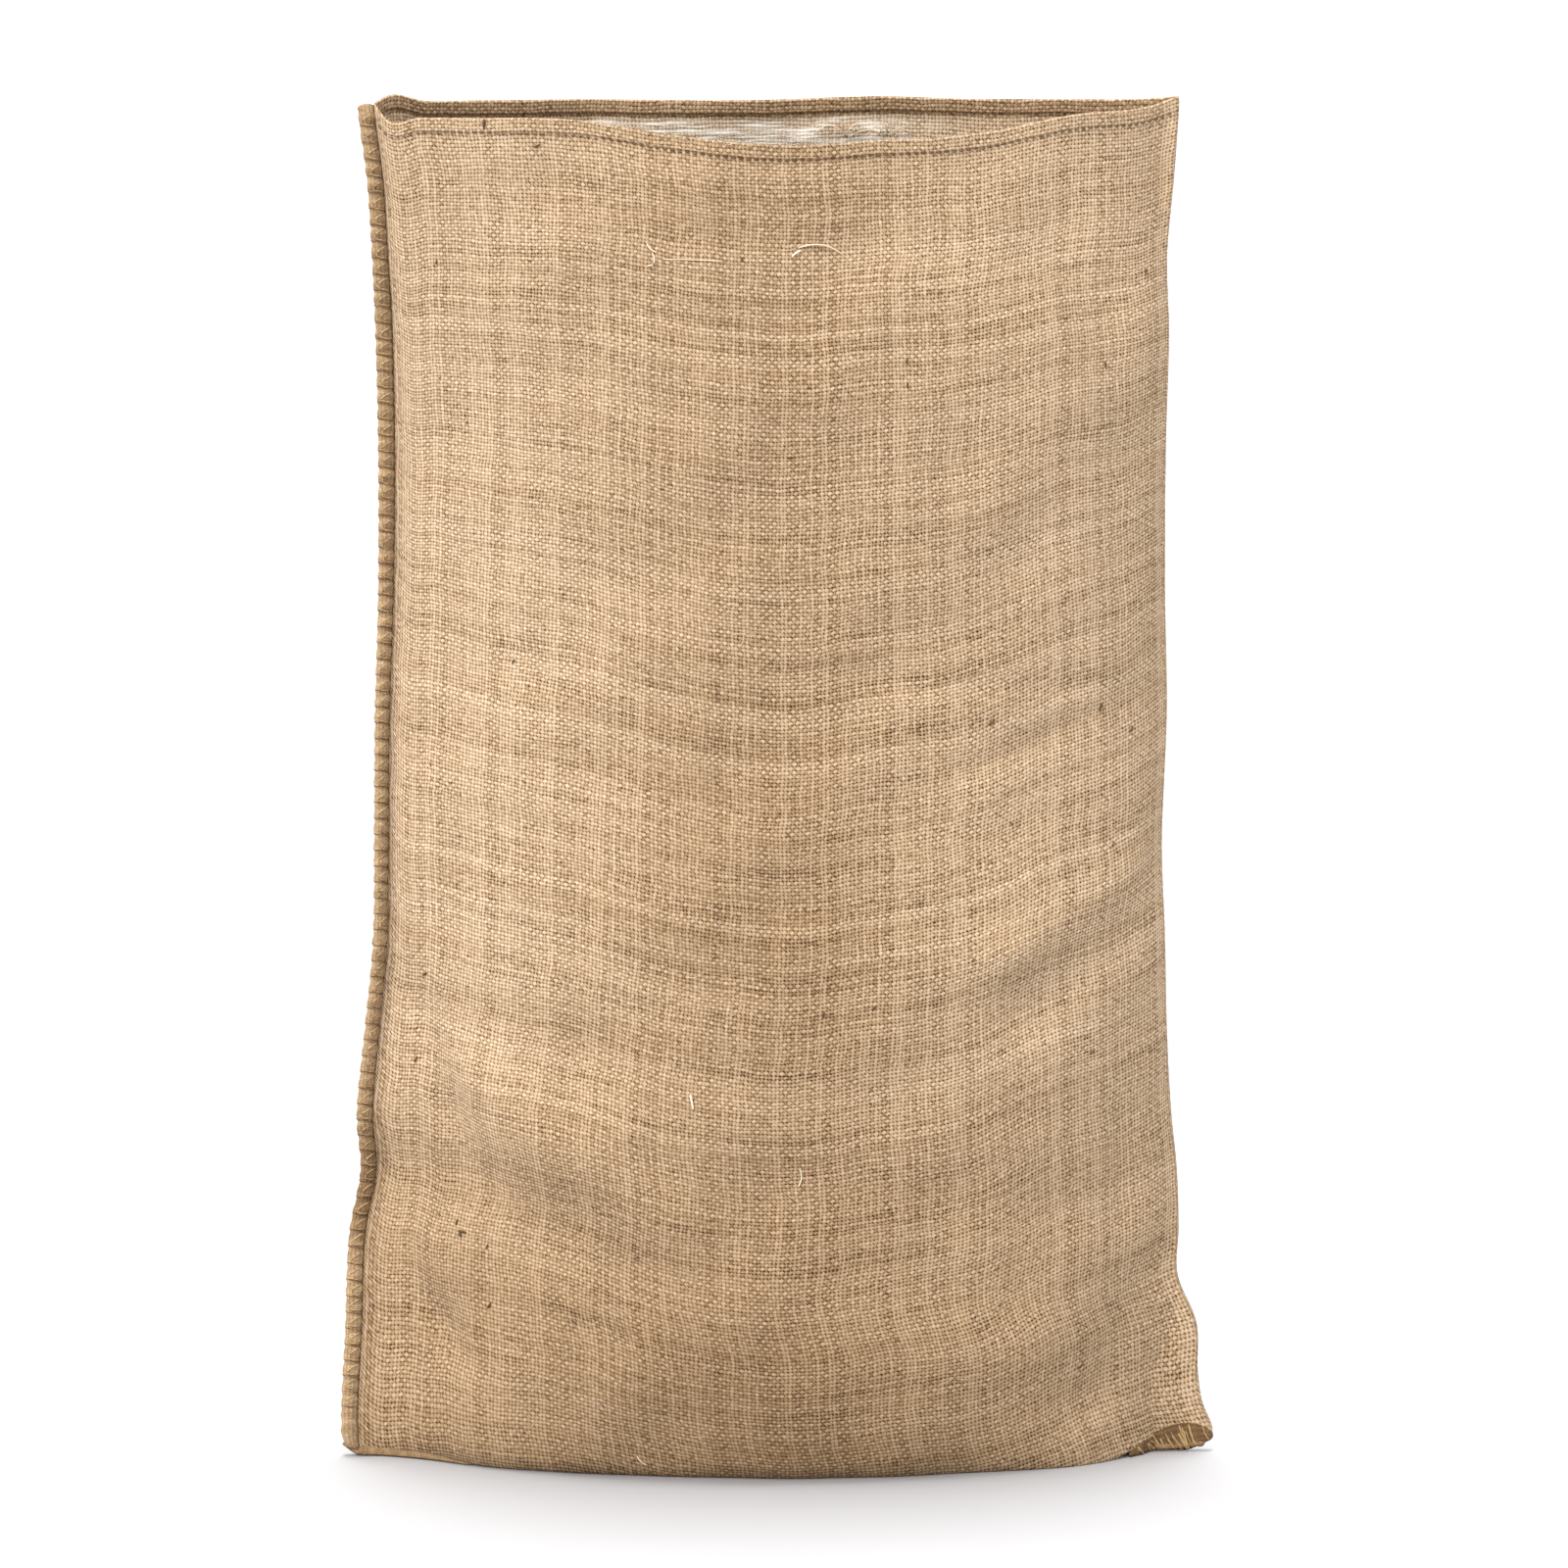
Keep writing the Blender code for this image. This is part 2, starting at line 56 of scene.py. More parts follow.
# %% Levels of the wall
LEVEL_NAMES = (
    "height left right seam_y fold_y front back ear_left ear_right blunt_left blunt_right lean"
).split()
LEVELS = np.array([
    [0.9690, -0.2785, 0.2760, -0.020, 0.006, 0.066, 0.060, 0.000, 0.006, 0.66, 0.92, 14],
    [0.9570, -0.2780, 0.2760, -0.020, 0.006, 0.067, 0.061, 0.000, 0.006, 0.66, 0.92, 24],
    [0.9120, -0.2730, 0.2730, -0.016, 0.005, 0.072, 0.066, 0.000, 0.005, 0.70, 0.86, 28],
    [0.8580, -0.2705, 0.2685, -0.009, 0.000, 0.078, 0.074, 0.000, 0.002, 0.74, 0.74, 28],
    [0.8020, -0.2685, 0.2700, -0.002, -0.006, 0.082, 0.079, 0.002, 0.002, 0.76, 0.70, 22],
    [0.7220, -0.2680, 0.2685, 0.003, -0.003, 0.086, 0.084, 0.003, 0.002, 0.76, 0.68, 28],
    [0.6220, -0.2700, 0.2690, 0.005, 0.003, 0.090, 0.087, 0.004, 0.002, 0.76, 0.66, 40],
    [0.5320, -0.2735, 0.2710, 0.002, 0.006, 0.093, 0.088, 0.004, 0.002, 0.76, 0.64, 46],
    [0.4420, -0.2750, 0.2680, -0.002, 0.000, 0.096, 0.090, 0.004, 0.002, 0.76, 0.64, 50],
    [0.3720, -0.2760, 0.2705, -0.003, -0.005, 0.098, 0.091, 0.006, 0.002, 0.80, 0.66, 48],
    [0.3020, -0.2825, 0.2725, -0.001, -0.003, 0.101, 0.091, 0.012, 0.002, 0.84, 0.68, 44],
    [0.2450, -0.2870, 0.2760, -0.005, 0.002, 0.103, 0.090, 0.018, 0.002, 0.88, 0.72, 34],
    [0.2020, -0.2850, 0.2805, 0.003, 0.003, 0.1035, 0.0885, 0.014, 0.003, 0.88, 0.76, 32],
    [0.1610, -0.2925, 0.2820, 0.000, 0.002, 0.1025, 0.0870, 0.018, 0.006, 0.88, 0.74, 30],
    [0.1265, -0.2945, 0.2815, -0.007, 0.000, 0.1005, 0.0850, 0.024, 0.020, 0.86, 0.68, 26],
    [0.0920, -0.2955, 0.2950, -0.010, -0.002, 0.0970, 0.0825, 0.027, 0.042, 0.84, 0.62, 26],
    [0.0560, -0.2975, 0.2960, -0.014, -0.003, 0.0915, 0.0790, 0.028, 0.054, 0.80, 0.54, 26],
    [0.0280, -0.2985, 0.2990, -0.017, -0.003, 0.0855, 0.0745, 0.028, 0.060, 0.80, 0.44, 24],
    [0.0100, -0.2980, 0.3050, -0.018, -0.003, 0.0800, 0.0700, 0.028, 0.065, 0.80, 0.40, 18],
    [0.0020, -0.2975, 0.3070, -0.018, -0.003, 0.0755, 0.0660, 0.030, 0.067, 0.80, 0.37, 16],
    [0.0000, -0.2960, 0.3060, -0.018, -0.003, 0.073, 0.063, 0.030, 0.067, 0.80, 0.35, 16],
])
MOUTH_SAG = np.array([  # share across, sag of the front hem, sag of the back hem
    [0.000, 0.0125, 0.0125], [0.013, 0.0210, 0.0085], [0.060, 0.0200, 0.0130],
    [0.120, 0.0190, 0.0140], [0.250, 0.0195, 0.0150], [0.380, 0.0295, 0.0168],
    [0.500, 0.0358, 0.0169], [0.620, 0.0335, 0.0146], [0.750, 0.0300, 0.0159],
    [0.880, 0.0186, 0.0140], [0.960, 0.0165, 0.0125], [1.000, 0.0100, 0.0100],
])
SHIFT = np.array([0.00114, 0.00541, 0.0])
print(len(LEVELS), "levels,", len(MOUTH_SAG), "points round the mouth")

# %% [markdown]
# ## Soft creases
# Cloth that stands empty keeps shallow creases from how it was folded and carried. Each is a
# line on the panel from (x0, z0) to (x1, z1), with a width and a rise: above 0 it is a ridge, and
# below 0 a hollow. Cloth simulation would also make creases, but not these ones, so they are set
# as smooth bells, and a few long slow ripples are added for the parts between.

# %% Creases of the two panels
FRONT_CREASES = np.array([  # x0, z0, x1, z1, width, rise
    [-0.262, 0.860, -0.258, 0.460, 0.010, -0.0030],
    [-0.276, 0.380, -0.232, 0.262, 0.014, -0.0130],
    [-0.222, 0.236, -0.204, 0.205, 0.014, -0.0040],
    [-0.216, 0.270, -0.100, 0.200, 0.036, 0.0125],
    [-0.284, 0.165, -0.238, 0.105, 0.012, -0.0060],
    [-0.250, 0.110, -0.225, 0.080, 0.012, -0.0040],
    [0.165, 0.376, 0.256, 0.430, 0.018, 0.0050],
    [0.180, 0.340, 0.262, 0.392, 0.020, -0.0055],
    [0.130, 0.512, 0.240, 0.550, 0.011, -0.0030],
    [0.020, 0.590, 0.230, 0.562, 0.012, -0.0022],
    [0.276, 0.140, 0.214, 0.045, 0.016, -0.0045],
    [-0.046, 0.950, -0.040, 0.600, 0.028, 0.0035],
    [0.200, 0.880, 0.250, 0.740, 0.024, -0.0035],
    [0.120, 0.960, 0.190, 0.820, 0.030, 0.0045],
    [-0.150, 0.090, 0.120, 0.080, 0.030, 0.0030],
    [0.255, 0.300, 0.240, 0.180, 0.018, -0.0040],
])
BACK_CREASES = np.array([
    [-0.235, 0.140, -0.170, 0.060, 0.016, -0.0060],
    [0.240, 0.150, 0.180, 0.050, 0.016, -0.0060],
    [0.020, 0.940, 0.030, 0.420, 0.030, 0.0035],
    [-0.225, 0.560, -0.120, 0.470, 0.018, -0.0045],
    [-0.215, 0.585, -0.100, 0.490, 0.020, 0.0040],
    [0.110, 0.330, 0.225, 0.400, 0.016, -0.0050],
    [0.100, 0.900, 0.220, 0.780, 0.026, -0.0035],
])
RIPPLES = np.array([  # waves across and up per metre, phase, height
    [5.1, 2.3, 0.4, 0.0011], [-3.7, 6.2, 2.1, 0.0010], [9.8, 3.1, 1.3, 0.0006],
    [-8.3, 9.4, 5.2, 0.0005], [2.2, 14.7, 3.3, 0.0004], [13.9, -5.6, 0.9, 0.0004],
])
print(len(FRONT_CREASES), "creases in front and", len(BACK_CREASES), "behind")


# %% Helpers for smooth curves
def smooth(low, high, value):
    """0 below low and 1 above high, with the cubic 3t^2 - 2t^3 between."""
    share = np.clip((value - low) / (high - low), 0.0, 1.0)
    return share * share * (3.0 - 2.0 * share)


def level_at(rows):
    """The table of levels read at fractional rows, as a dict of columns: a Catmull-Rom cubic
    passes through each row, with the slope there half the step from the row before to the next.
    """
    row = np.clip(rows.astype(int), 0, len(LEVELS) - 2)
    share = (rows - row)[:, None]
    before, after = LEVELS[np.maximum(row - 1, 0)], LEVELS[np.minimum(row + 2, len(LEVELS) - 1)]
    here, there = LEVELS[row], LEVELS[row + 1]
    values = here + 0.5 * share * (
        there - before
        + share * (2.0 * before - 5.0 * here + 4.0 * there - after)
        + share**2 * (3.0 * here - before - 3.0 * there + after)
    )
    return {name: values[:, i : i + 1] for i, name in enumerate(LEVEL_NAMES)}


def mouth_sag(level, across, front):
    """How far the cloth hangs below its level. At the hem it is a cubic between each two points
    of the table that keeps the table's own slopes at both, and it fades out down the wall.
    """
    knots, drops = MOUTH_SAG[:, 0], MOUTH_SAG[:, 1 if front else 2]
    slopes = np.gradient(drops, knots)
    row = np.clip(np.searchsorted(knots, across, side="right") - 1, 0, len(knots) - 2)
    gap, rise = knots[row + 1] - knots[row], drops[row + 1] - drops[row]
    t = (across - knots[row]) / gap
    bend = t * (1.0 - t) * gap * (slopes[row] * (1.0 - t) - slopes[row + 1] * t)
    hem_sag = drops[row] + rise * (3.0 - 2.0 * t) * t * t + bend
    return hem_sag * smooth(0.20, 0.90, level["height"])


def crease_rise(creases, x, z):
    """The sum of the creases at (x, z): each is rise times a bell across its line, and fades
    past its ends over 1.6 widths.
    """
    total = np.zeros(np.broadcast(x, z).shape)
    for x0, z0, x1, z1, width, rise in creases:
        length = math.hypot(x1 - x0, z1 - z0)
        run_x, run_z = (x1 - x0) / length, (z1 - z0) / length
        along = (x - x0) * run_x + (z - z0) * run_z
        across = (z - z0) * run_x - (x - x0) * run_z
        beyond = np.maximum(np.maximum(-along, along - length), 0.0)
        total += rise * np.exp(-((across / width) ** 2) - (beyond / (1.6 * width)) ** 2)
    return total


def ripple_rise(x, z, start):
    """The sum of long slow waves, height times sin(2 pi (across x + up z) + phase)."""
    waves = [
        height * np.sin(2.0 * np.pi * (a * x + b * z) + phase + start)
        for a, b, phase, height in RIPPLES
    ]
    return sum(waves)


print("highest level", float(level_at(np.array([0.0]))["height"][0, 0]))

# %% [markdown]
# ## The wall of the sack as a surface
# A panel is a function of two parameters: the row, down from the mouth, and the share across,
# from the left seam to the right fold. At each level its outline is flat in the ears and then
# swells like a superellipse, which is how a pillow-shaped bag with sewn sides stands. Under the
# floor line the two panels turn in flat to the bottom seam, which lies on the floor between them.

# %% The wall as a function of row and share across
THICK = 0.0011
HEM_SWELL = 0.0009  # the hem is this much thicker on each side
HEM_FOOT, HEM_TURN = 0.958, 0.960  # levels between which the wall swells into the hem
HEM_ROUND = 0.0013
EDGE_HALF = 0.0019  # half the thickness where the two panels meet at an edge
SEAM_ROOF = 0.0045  # the cloth's height over the bottom seam, and its half width there
ROOF_HALF = 0.0062
EAR_LIFT = 0.0085
FLOOR_BEND = 0.080  # the cloth starts to rise over the seam this far above the floor
UNDERSIDE_STEPS = 9


def fullness(level, across):
    """0 in the ear beside an edge and 1 in the middle: (1 - (1 - s)^2) ^ blunt, where s is the
    share of the way from the ear to the middle.
    """
    width = level["right"] - level["left"]
    on_left = across < 0.5
    distance = np.where(on_left, across, 1.0 - across) * width
    ear = np.where(on_left, level["ear_left"], level["ear_right"])
    blunt = np.where(on_left, level["blunt_left"], level["blunt_right"])
    share = (distance - ear) / (width / 2.0 - ear)
    soft = np.minimum(0.11, ear / (width / 2.0 - ear)) + 1.0e-6
    start = np.clip(share + soft, 0.0, 2.0 * soft) ** 2 / (4.0 * soft)
    rise = np.clip(np.where(share < soft, start, share), 0.0, 1.0)
    return (1.0 - (1.0 - rise) ** 2) ** blunt, distance


def seam_height(x):
    """The height of the cloth over the bottom seam: it lifts off the floor at the right ear."""
    return SEAM_ROOF + EAR_LIFT * smooth(0.225, 0.306, x)


def wall(level, across, front, inner):
    """The points of one face of one panel at levels and shares across, and how far they stand
    from the line between the panels. The inner face lies one thickness inside the outer one.
    """
    side = -1.0 if front else 1.0
    inset = THICK if inner else 0.0
    x = level["left"] + inset + (level["right"] - level["left"] - 2.0 * inset) * across
    full, distance = fullness(level, across)
    hem = HEM_SWELL * smooth(HEM_FOOT, HEM_TURN, level["height"])
    rise = crease_rise(FRONT_CREASES if front else BACK_CREASES, x, level["height"])
    rise = rise + ripple_rise(x, level["height"], 0.0 if front else 2.4)
    stand = level["front" if front else "back"] * full + rise * smooth(0.0, 0.4, full)
    round_edge = np.sqrt(1.0 - (1.0 - np.clip(distance / EDGE_HALF, 0.0, 1.0)) ** 2)
    least = (EDGE_HALF - inset) * round_edge
    stand = np.maximum(stand + (-inset - hem if inner else hem), least)
    y = level["seam_y"] * (1.0 - across) + level["fold_y"] * across + side * stand

    foot = level_at(np.array([len(LEVELS) - 1.0]))
    foot_full, _ = fullness(foot, across)
    flat_ear = 1.0 - smooth(0.010, 0.036, foot["front"] * foot_full)
    lift = flat_ear * seam_height(foot["left"] + (foot["right"] - foot["left"]) * across) + inset
    near_floor = np.clip(1.0 - level["height"] / FLOOR_BEND, 0.0, 1.0)
    z = level["height"] - mouth_sag(level, across, front) + lift * near_floor
    return np.stack([x, y, z], axis=-1) + SHIFT, stand


def panel(rows, across, front, inner):
    """One face of one panel, row by row: the wall, then in under the sack to the bottom seam."""
    side = -1.0 if front else 1.0
    points, stand = wall(level_at(rows), across[None], front, inner)
    edge, reach = points[-1], stand[-1]
    roof = np.minimum(ROOF_HALF, 0.6 * reach)
    share = (np.arange(UNDERSIDE_STEPS) + 1.0)[:, None] / UNDERSIDE_STEPS
    climb = np.interp(share, [0.0, 0.35, 0.70, 1.0], [0.0, 0.0, 0.4, 1.0])
    out = reach * (1.0 - share) + roof * share
    top = seam_height(edge[:, 0] - SHIFT[0]) + (THICK if inner else 0.0)
    under_z = edge[:, 2] * (1.0 - climb) + top * climb
    under_x, under_y = edge[:, 0] + 0.0 * share, edge[:, 1] - side * (reach - out)
    under = np.stack([under_x, under_y, under_z], axis=-1)
    seam = under[-1:].copy()
    seam[:, :, 1] = edge[:, 1] - side * reach
    return np.concatenate([points, under, seam])


print("cloth", THICK * 1000, "mm thick, hem", round((THICK + 2.0 * HEM_SWELL) * 1000, 1), "mm")

# %% Rows and columns, close together where the cloth bends most
COLUMNS = 104
HEM_ROWS = 14
ROW_STEP = 0.0052
MOUTH_LEVEL, BELOW_HEM, LAST_BEND = 0.969, 0.957, 0.012
CROWDING = 0.62  # how much closer the columns stand at the two edges than in the middle

fine = np.linspace(0.0, len(LEVELS) - 1.0, 4001)
fine_height = level_at(fine)["height"][:, 0]


def row_at(height):
    """The fractional row of the table at a height, read backwards from a fine list of both."""
    return np.interp(-height, -fine_height, fine)


heights = np.concatenate([
    np.linspace(MOUTH_LEVEL - HEM_ROUND, BELOW_HEM, HEM_ROWS, endpoint=False),
    np.arange(BELOW_HEM, LAST_BEND, -ROW_STEP),
    [LAST_BEND, 0.009, 0.006, 0.004, 0.0025, 0.0012, 0.0],
])
rows = row_at(heights)
even = np.arange(COLUMNS + 1) / COLUMNS
across = even - CROWDING / (2.0 * np.pi) * np.sin(2.0 * np.pi * even)
print(len(rows), "rows,", COLUMNS, "columns, edge column", round(across[1] * 0.55 * 1000, 2), "mm")


# %% [markdown]
# ## One closed cloth
# Real cloth has a thickness, and at the mouth it shows. So each panel has an outer and an inner
# face, the hem rounds over from one to the other, and at the bottom seam the front joins the
# back. The whole is one grid of points that runs up the inside, over the hem and down the
# outside, and all the way round, so it closes without a Solidify modifier and its hem can be
# thicker than its wall. Its UV map is the cloth as it was cut, flat, in metres: threads drawn on
# it follow every fold, as they do in real cloth.

# %% Join the faces into one grid
def tube(inner):
    """The front's columns from left to right, then the back's from right to left."""
    front = panel(rows, across, True, inner)
    back = panel(rows, across, False, inner)
    return np.concatenate([front, back[:, -2:0:-1]], axis=1)


def hem_dome(outer_rim, inner_rim, steps):
    """A half circle from the inner rim over to the outer one: middle + half cos(a) + up sin(a)."""
    angle = np.pi * np.arange(1, steps)[:, None, None] / steps
    middle, half = (outer_rim + inner_rim) / 2.0, (outer_rim - inner_rim) / 2.0
    up = np.array([0.0, 0.0, HEM_ROUND])
    return middle - half * np.cos(angle) + up * np.sin(angle)


DOME_STEPS = 6
outer, inner = tube(False), tube(True)
grid = np.concatenate([inner[::-1], hem_dome(outer[0], inner[0], DOME_STEPS), outer])
print("grid", grid.shape, "lowest", grid[..., 2].min().round(5))

# %% [markdown]
# ## How far along the cloth each point is
# `u` runs round the sack, 0.61 m to a side, and `v` down from the top of the hem: below 0 it is
# the inside, and above 0 the outside. The length of each step is measured on the surface. Handled
# cloth is pulled out of square too: the weft sags towards the middle of each panel, so `v` gets a
# slow bow that fades out at the hem.

# %% The flat cloth as UV
FLAT_WIDTH, FLAT_LENGTH = 0.610, 1.016
BOW_LEFT, BOW_RIGHT = 0.038, 0.044


def shares_along(points):
    """The length along each row up to each point, as a share of the whole row."""
    steps = np.linalg.norm(np.diff(points[..., :2], axis=1), axis=-1)
    total = np.concatenate([np.zeros((len(points), 1)), np.cumsum(steps, axis=1)], axis=1)
    return total / total[:, -1:]


def drop_down(points):
    """The length down each column from the hem to each point."""
    steps = np.linalg.norm(np.diff(points, axis=0), axis=-1)
    return np.concatenate([np.zeros((1, points.shape[1])), np.cumsum(steps, axis=0)])


def weft_bow(share, down):
    """How far the weft is pulled up beside the edges: bow times |1 - 2 share|^1.6, faded in
    below the hem and out at the foot.
    """
    side = np.where(share < 0.5, BOW_LEFT, BOW_RIGHT) * np.abs(1.0 - 2.0 * share) ** 1.6
    return side * smooth(0.03, 0.40, down) * (1.0 - smooth(0.80, 1.05, down))


closed = np.concatenate([outer, outer[:, :1]], axis=1)
front_u = FLAT_WIDTH * shares_along(closed[:, : COLUMNS + 1])
back_u = FLAT_WIDTH * (1.0 + shares_along(closed[:, COLUMNS:]))
cloth_u = np.concatenate([front_u, back_u[:, 1:]], axis=1)
down = drop_down(closed) + 0.002
cloth_v = down + weft_bow(np.mod(cloth_u / FLAT_WIDTH, 1.0), down)
dome_share = (np.arange(1, DOME_STEPS) / DOME_STEPS * 2.0 - 1.0)[:, None]
dome_v = cloth_v[0] * dome_share
uv = np.stack([
    np.concatenate([cloth_u[::-1], np.repeat(cloth_u[:1], DOME_STEPS - 1, axis=0), cloth_u]),
    np.concatenate([-cloth_v[::-1], dome_v, cloth_v]),
], axis=-1)
girth = np.linalg.norm(np.diff(closed[120, :, :2], axis=0), axis=-1).sum()
print("girth half way up", round(float(girth), 3), "m, cut", 2.0 * FLAT_WIDTH, "m")


# %% Put a grid of points into a mesh
def lay_piece(name, shape, material):
    """Make one mesh object at the origin from a shape: points, four-sided faces, and the UV of
    each face's corners.
    """
    points, quads, corner_uv = shape
    mesh = bpy.data.meshes.new(name)
    mesh.from_pydata(points.tolist(), [], quads.tolist())
    layer = mesh.uv_layers.new(name="laid_flat")
    layer.data.foreach_set("uv", corner_uv.astype(np.float32).ravel())
    mesh.materials.append(material)
    mesh.shade_smooth()
    piece = bpy.data.objects.new(name, mesh)
    bpy.context.scene.collection.objects.link(piece)
    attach(piece, "root")
    print(name, len(points), "points,", 2 * len(quads), "triangles")
    return piece


def grid_quads(index):
    """The corners of each face between neighbouring rows and columns of a grid of numbers."""
    return np.stack([index[:-1, :-1], index[1:, :-1], index[1:, 1:], index[:-1, 1:]], axis=-1)


# %% [markdown]
# ## Materials are built from nodes
# One function adds any node. Its kind is Blender's own name for the node, followed by the node's
# main choice where it has one, such as what a Math node works out. Its inputs are numbers,
# colours or other nodes, whose first output in use they take.

# %% The one function that adds a node, and colours from hex
CHOICES = {
    "Math": "operation", "VectorMath": "operation", "MapRange": "interpolation_type",
    "Mix": "data_type", "TexNoise": "noise_dimensions", "TexWhiteNoise": "noise_dimensions",
}


def connect(tree, node, inputs):
    """Give a node its inputs: a list for its sockets in their order, or a dict by their names.
    A value is a plain number or colour, another node, or one output of a node.
    """
    sockets = [socket for socket in node.inputs if socket.enabled]
    if isinstance(inputs, dict):
        named = {socket.name: socket for socket in sockets}
        sockets, inputs = [named[name] for name in inputs], inputs.values()
    for socket, value in zip(sockets, inputs):
        if isinstance(value, bpy.types.Node):
            value = next(output for output in value.outputs if output.enabled)
        if isinstance(value, bpy.types.NodeSocket):
            tree.links.new(value, socket)
        else:
            socket.default_value = value


def add(tree, kind, inputs=(), **settings):
    """Add a node of a kind, such as "Math MULTIPLY": Blender's name for it, and its main choice
    where it has one. settings are its other settings.
    """
    kind, _, choice = kind.partition(" ")
    node = tree.nodes.new("ShaderNode" + kind)
    if choice:
        setattr(node, CHOICES[kind], choice)
    for name, value in settings.items():
        setattr(node, name, value)
    connect(tree, node, inputs)
    return node


def linear(hex_colour):
    """An sRGB hex colour as linear red, green, blue and alpha."""
    parts = [int(hex_colour[i : i + 2], 16) / 255.0 for i in (1, 3, 5)]
    low_or_high = [c / 12.92 if c <= 0.04045 else ((c + 0.055) / 1.055) ** 2.4 for c in parts]
    return (*low_or_high, 1.0)


def new_material(name, roughness):
    """A material with its Principled shader at the output, and the soft sheen of plant fibre:
    a low specular level, and a little sheen from the fine hairs that stand off every yarn.
    """
    material = bpy.data.materials.new(name)
    material.use_nodes = True
    tree = material.node_tree
    tree.nodes.clear()
    fibre = {"Specular IOR Level": 0.18, "Sheen Weight": 0.05, "Sheen Roughness": 0.5}
    shader = add(tree, "BsdfPrincipled", {"Roughness": roughness, "IOR": 1.5, **fibre})
    add(tree, "OutputMaterial", [shader])
    return material, tree, shader


print("the mid grey #808080 is", round(linear("#808080")[0], 3), "in linear light")

# %% Patterns that several materials share
def uneven(tree, place, across, down, detail, kind="TexNoise", roughness=0.5):
    """Noise that swings about so many times a metre across the flat cloth, and down it."""
    way = add(tree, "VectorMath MULTIPLY", [place, (across, down, 1.0)])
    inputs = {"Vector": way, "Scale": 1.0, "Detail": detail, "Roughness": roughness}
    return add(tree, kind, inputs)


def how_far(tree, value, middle):
    """The distance of a value from a middle: |value - middle|."""
    off = add(tree, "Math SUBTRACT", [value, middle])
    return add(tree, "Math ABSOLUTE", [off])


def beside(tree, value, middle, near, far):
    """1 nearer than near to a middle and 0 past far, with a smooth step between."""
    return add(tree, "MapRange SMOOTHSTEP", [how_far(tree, value, middle), near, far, 1.0, 0.0])


def layered(tree, value, parts):
    """The value and every (pattern, amount) of the parts: value + pattern * amount + ..."""
    for pattern, amount in parts:
        value = add(tree, "Math MULTIPLY_ADD", [pattern, amount, value])
    return value


# %% [markdown]
# ## Hessian: undyed jute in plain weave
# Hessian is woven from thick single jute yarns, about 9 to the inch, over one and under one. The
# yarns are spun from coarse fibre, so they swell and thin along their length, and small square
# gaps stay open between them. The pattern is worked out from the flat cloth's UV: whole numbers
# count the yarns, the sign of their sum says which one is on top, a root of 1 - x^2 rounds each
# yarn, and the higher of the two is what shows. An image of cloth would repeat and blur, and this
# doesn't. The cloth's two faces are the same yarns, so the inner side counts them from the same
# edge, with over and under exchanged, and its gaps lie behind the outer side's gaps.

# %% Which yarns cross at a point
WARP_PITCH, WEFT_PITCH = 0.0027, 0.00265

hessian, tree, hessian_shader = new_material("hessian_plain_weave_jute", 0.88)
laid = add(tree, "UVMap", uv_map="laid_flat")
ways = add(tree, "SeparateXYZ", [laid])
u, v = ways.outputs["X"], ways.outputs["Y"]
down_cloth = add(tree, "Math ABSOLUTE", [v])
flat = add(tree, "CombineXYZ", [u, down_cloth])
# Yarns wander by half a pitch over a few centimetres.
drift = uneven(tree, flat, 21.0, 33.0, 1.0)
drifts = add(tree, "SeparateColor", [drift.outputs["Color"]])
warp_count = add(tree, "Math MULTIPLY", [u, 1.0 / WARP_PITCH])
weft_count = add(tree, "Math MULTIPLY", [down_cloth, 1.0 / WEFT_PITCH])
across_yarns = add(tree, "Math MULTIPLY_ADD", [drifts.outputs[0], 1.6, warp_count])
down_yarns = add(tree, "Math MULTIPLY_ADD", [drifts.outputs[1], 2.0, weft_count])
warp_number = add(tree, "Math FLOOR", [across_yarns])
weft_number = add(tree, "Math FLOOR", [down_yarns])
warp_share = add(tree, "Math FRACT", [across_yarns])
weft_share = add(tree, "Math FRACT", [down_yarns])
# 1 where the warp is over the weft, and -1 where it is under.
number_sum = add(tree, "Math ADD", [warp_number, weft_number])
half_sum = add(tree, "Math MULTIPLY", [number_sum, 0.5])
odd = add(tree, "Math FRACT", [half_sum])
over_outside = add(tree, "Math MULTIPLY_ADD", [odd, -4.0, 1.0])
side_sign = add(tree, "Math SIGN", [v])
over = add(tree, "Math MULTIPLY", [over_outside, side_sign])
print("yarns per inch", round(0.0254 / WARP_PITCH, 1), "by", round(0.0254 / WEFT_PITCH, 1))

# %% Where the weave is open
# Half widths, as a share of the pitch: 0.5 would close the gap. Some parts are woven more open.
open_drift = uneven(tree, flat, 14.0, 80.0, 2.0)
open_part = add(tree, "Math MULTIPLY_ADD", [open_drift, 0.42, -0.06])
# Behind the mouth the back's weft is loose, and on its inner face pale rows are painted light: a
# painted glow for light shining through the loose weave.
glow_across = beside(tree, u, 0.950, 0.07, 0.19)
glow_start = add(tree, "MapRange", [down_cloth, 0.0135, 0.0175, 0.0, 1.0])
glow_end = add(tree, "MapRange SMOOTHSTEP", [down_cloth, 0.045, 0.080, 1.0, 0.0])
glow_down = add(tree, "Math MULTIPLY", [glow_start, glow_end])
loose = add(tree, "Math MULTIPLY", [glow_across, glow_down])
inner_side = add(tree, "MapRange", [side_sign, -1.0, 1.0, 1.0, 0.0])
painted_glow = add(tree, "Math MULTIPLY", [loose, inner_side])
weft_open = layered(tree, open_part, [(loose, -0.12)])
print("yarns counted and gaps placed in", len(tree.nodes), "nodes")

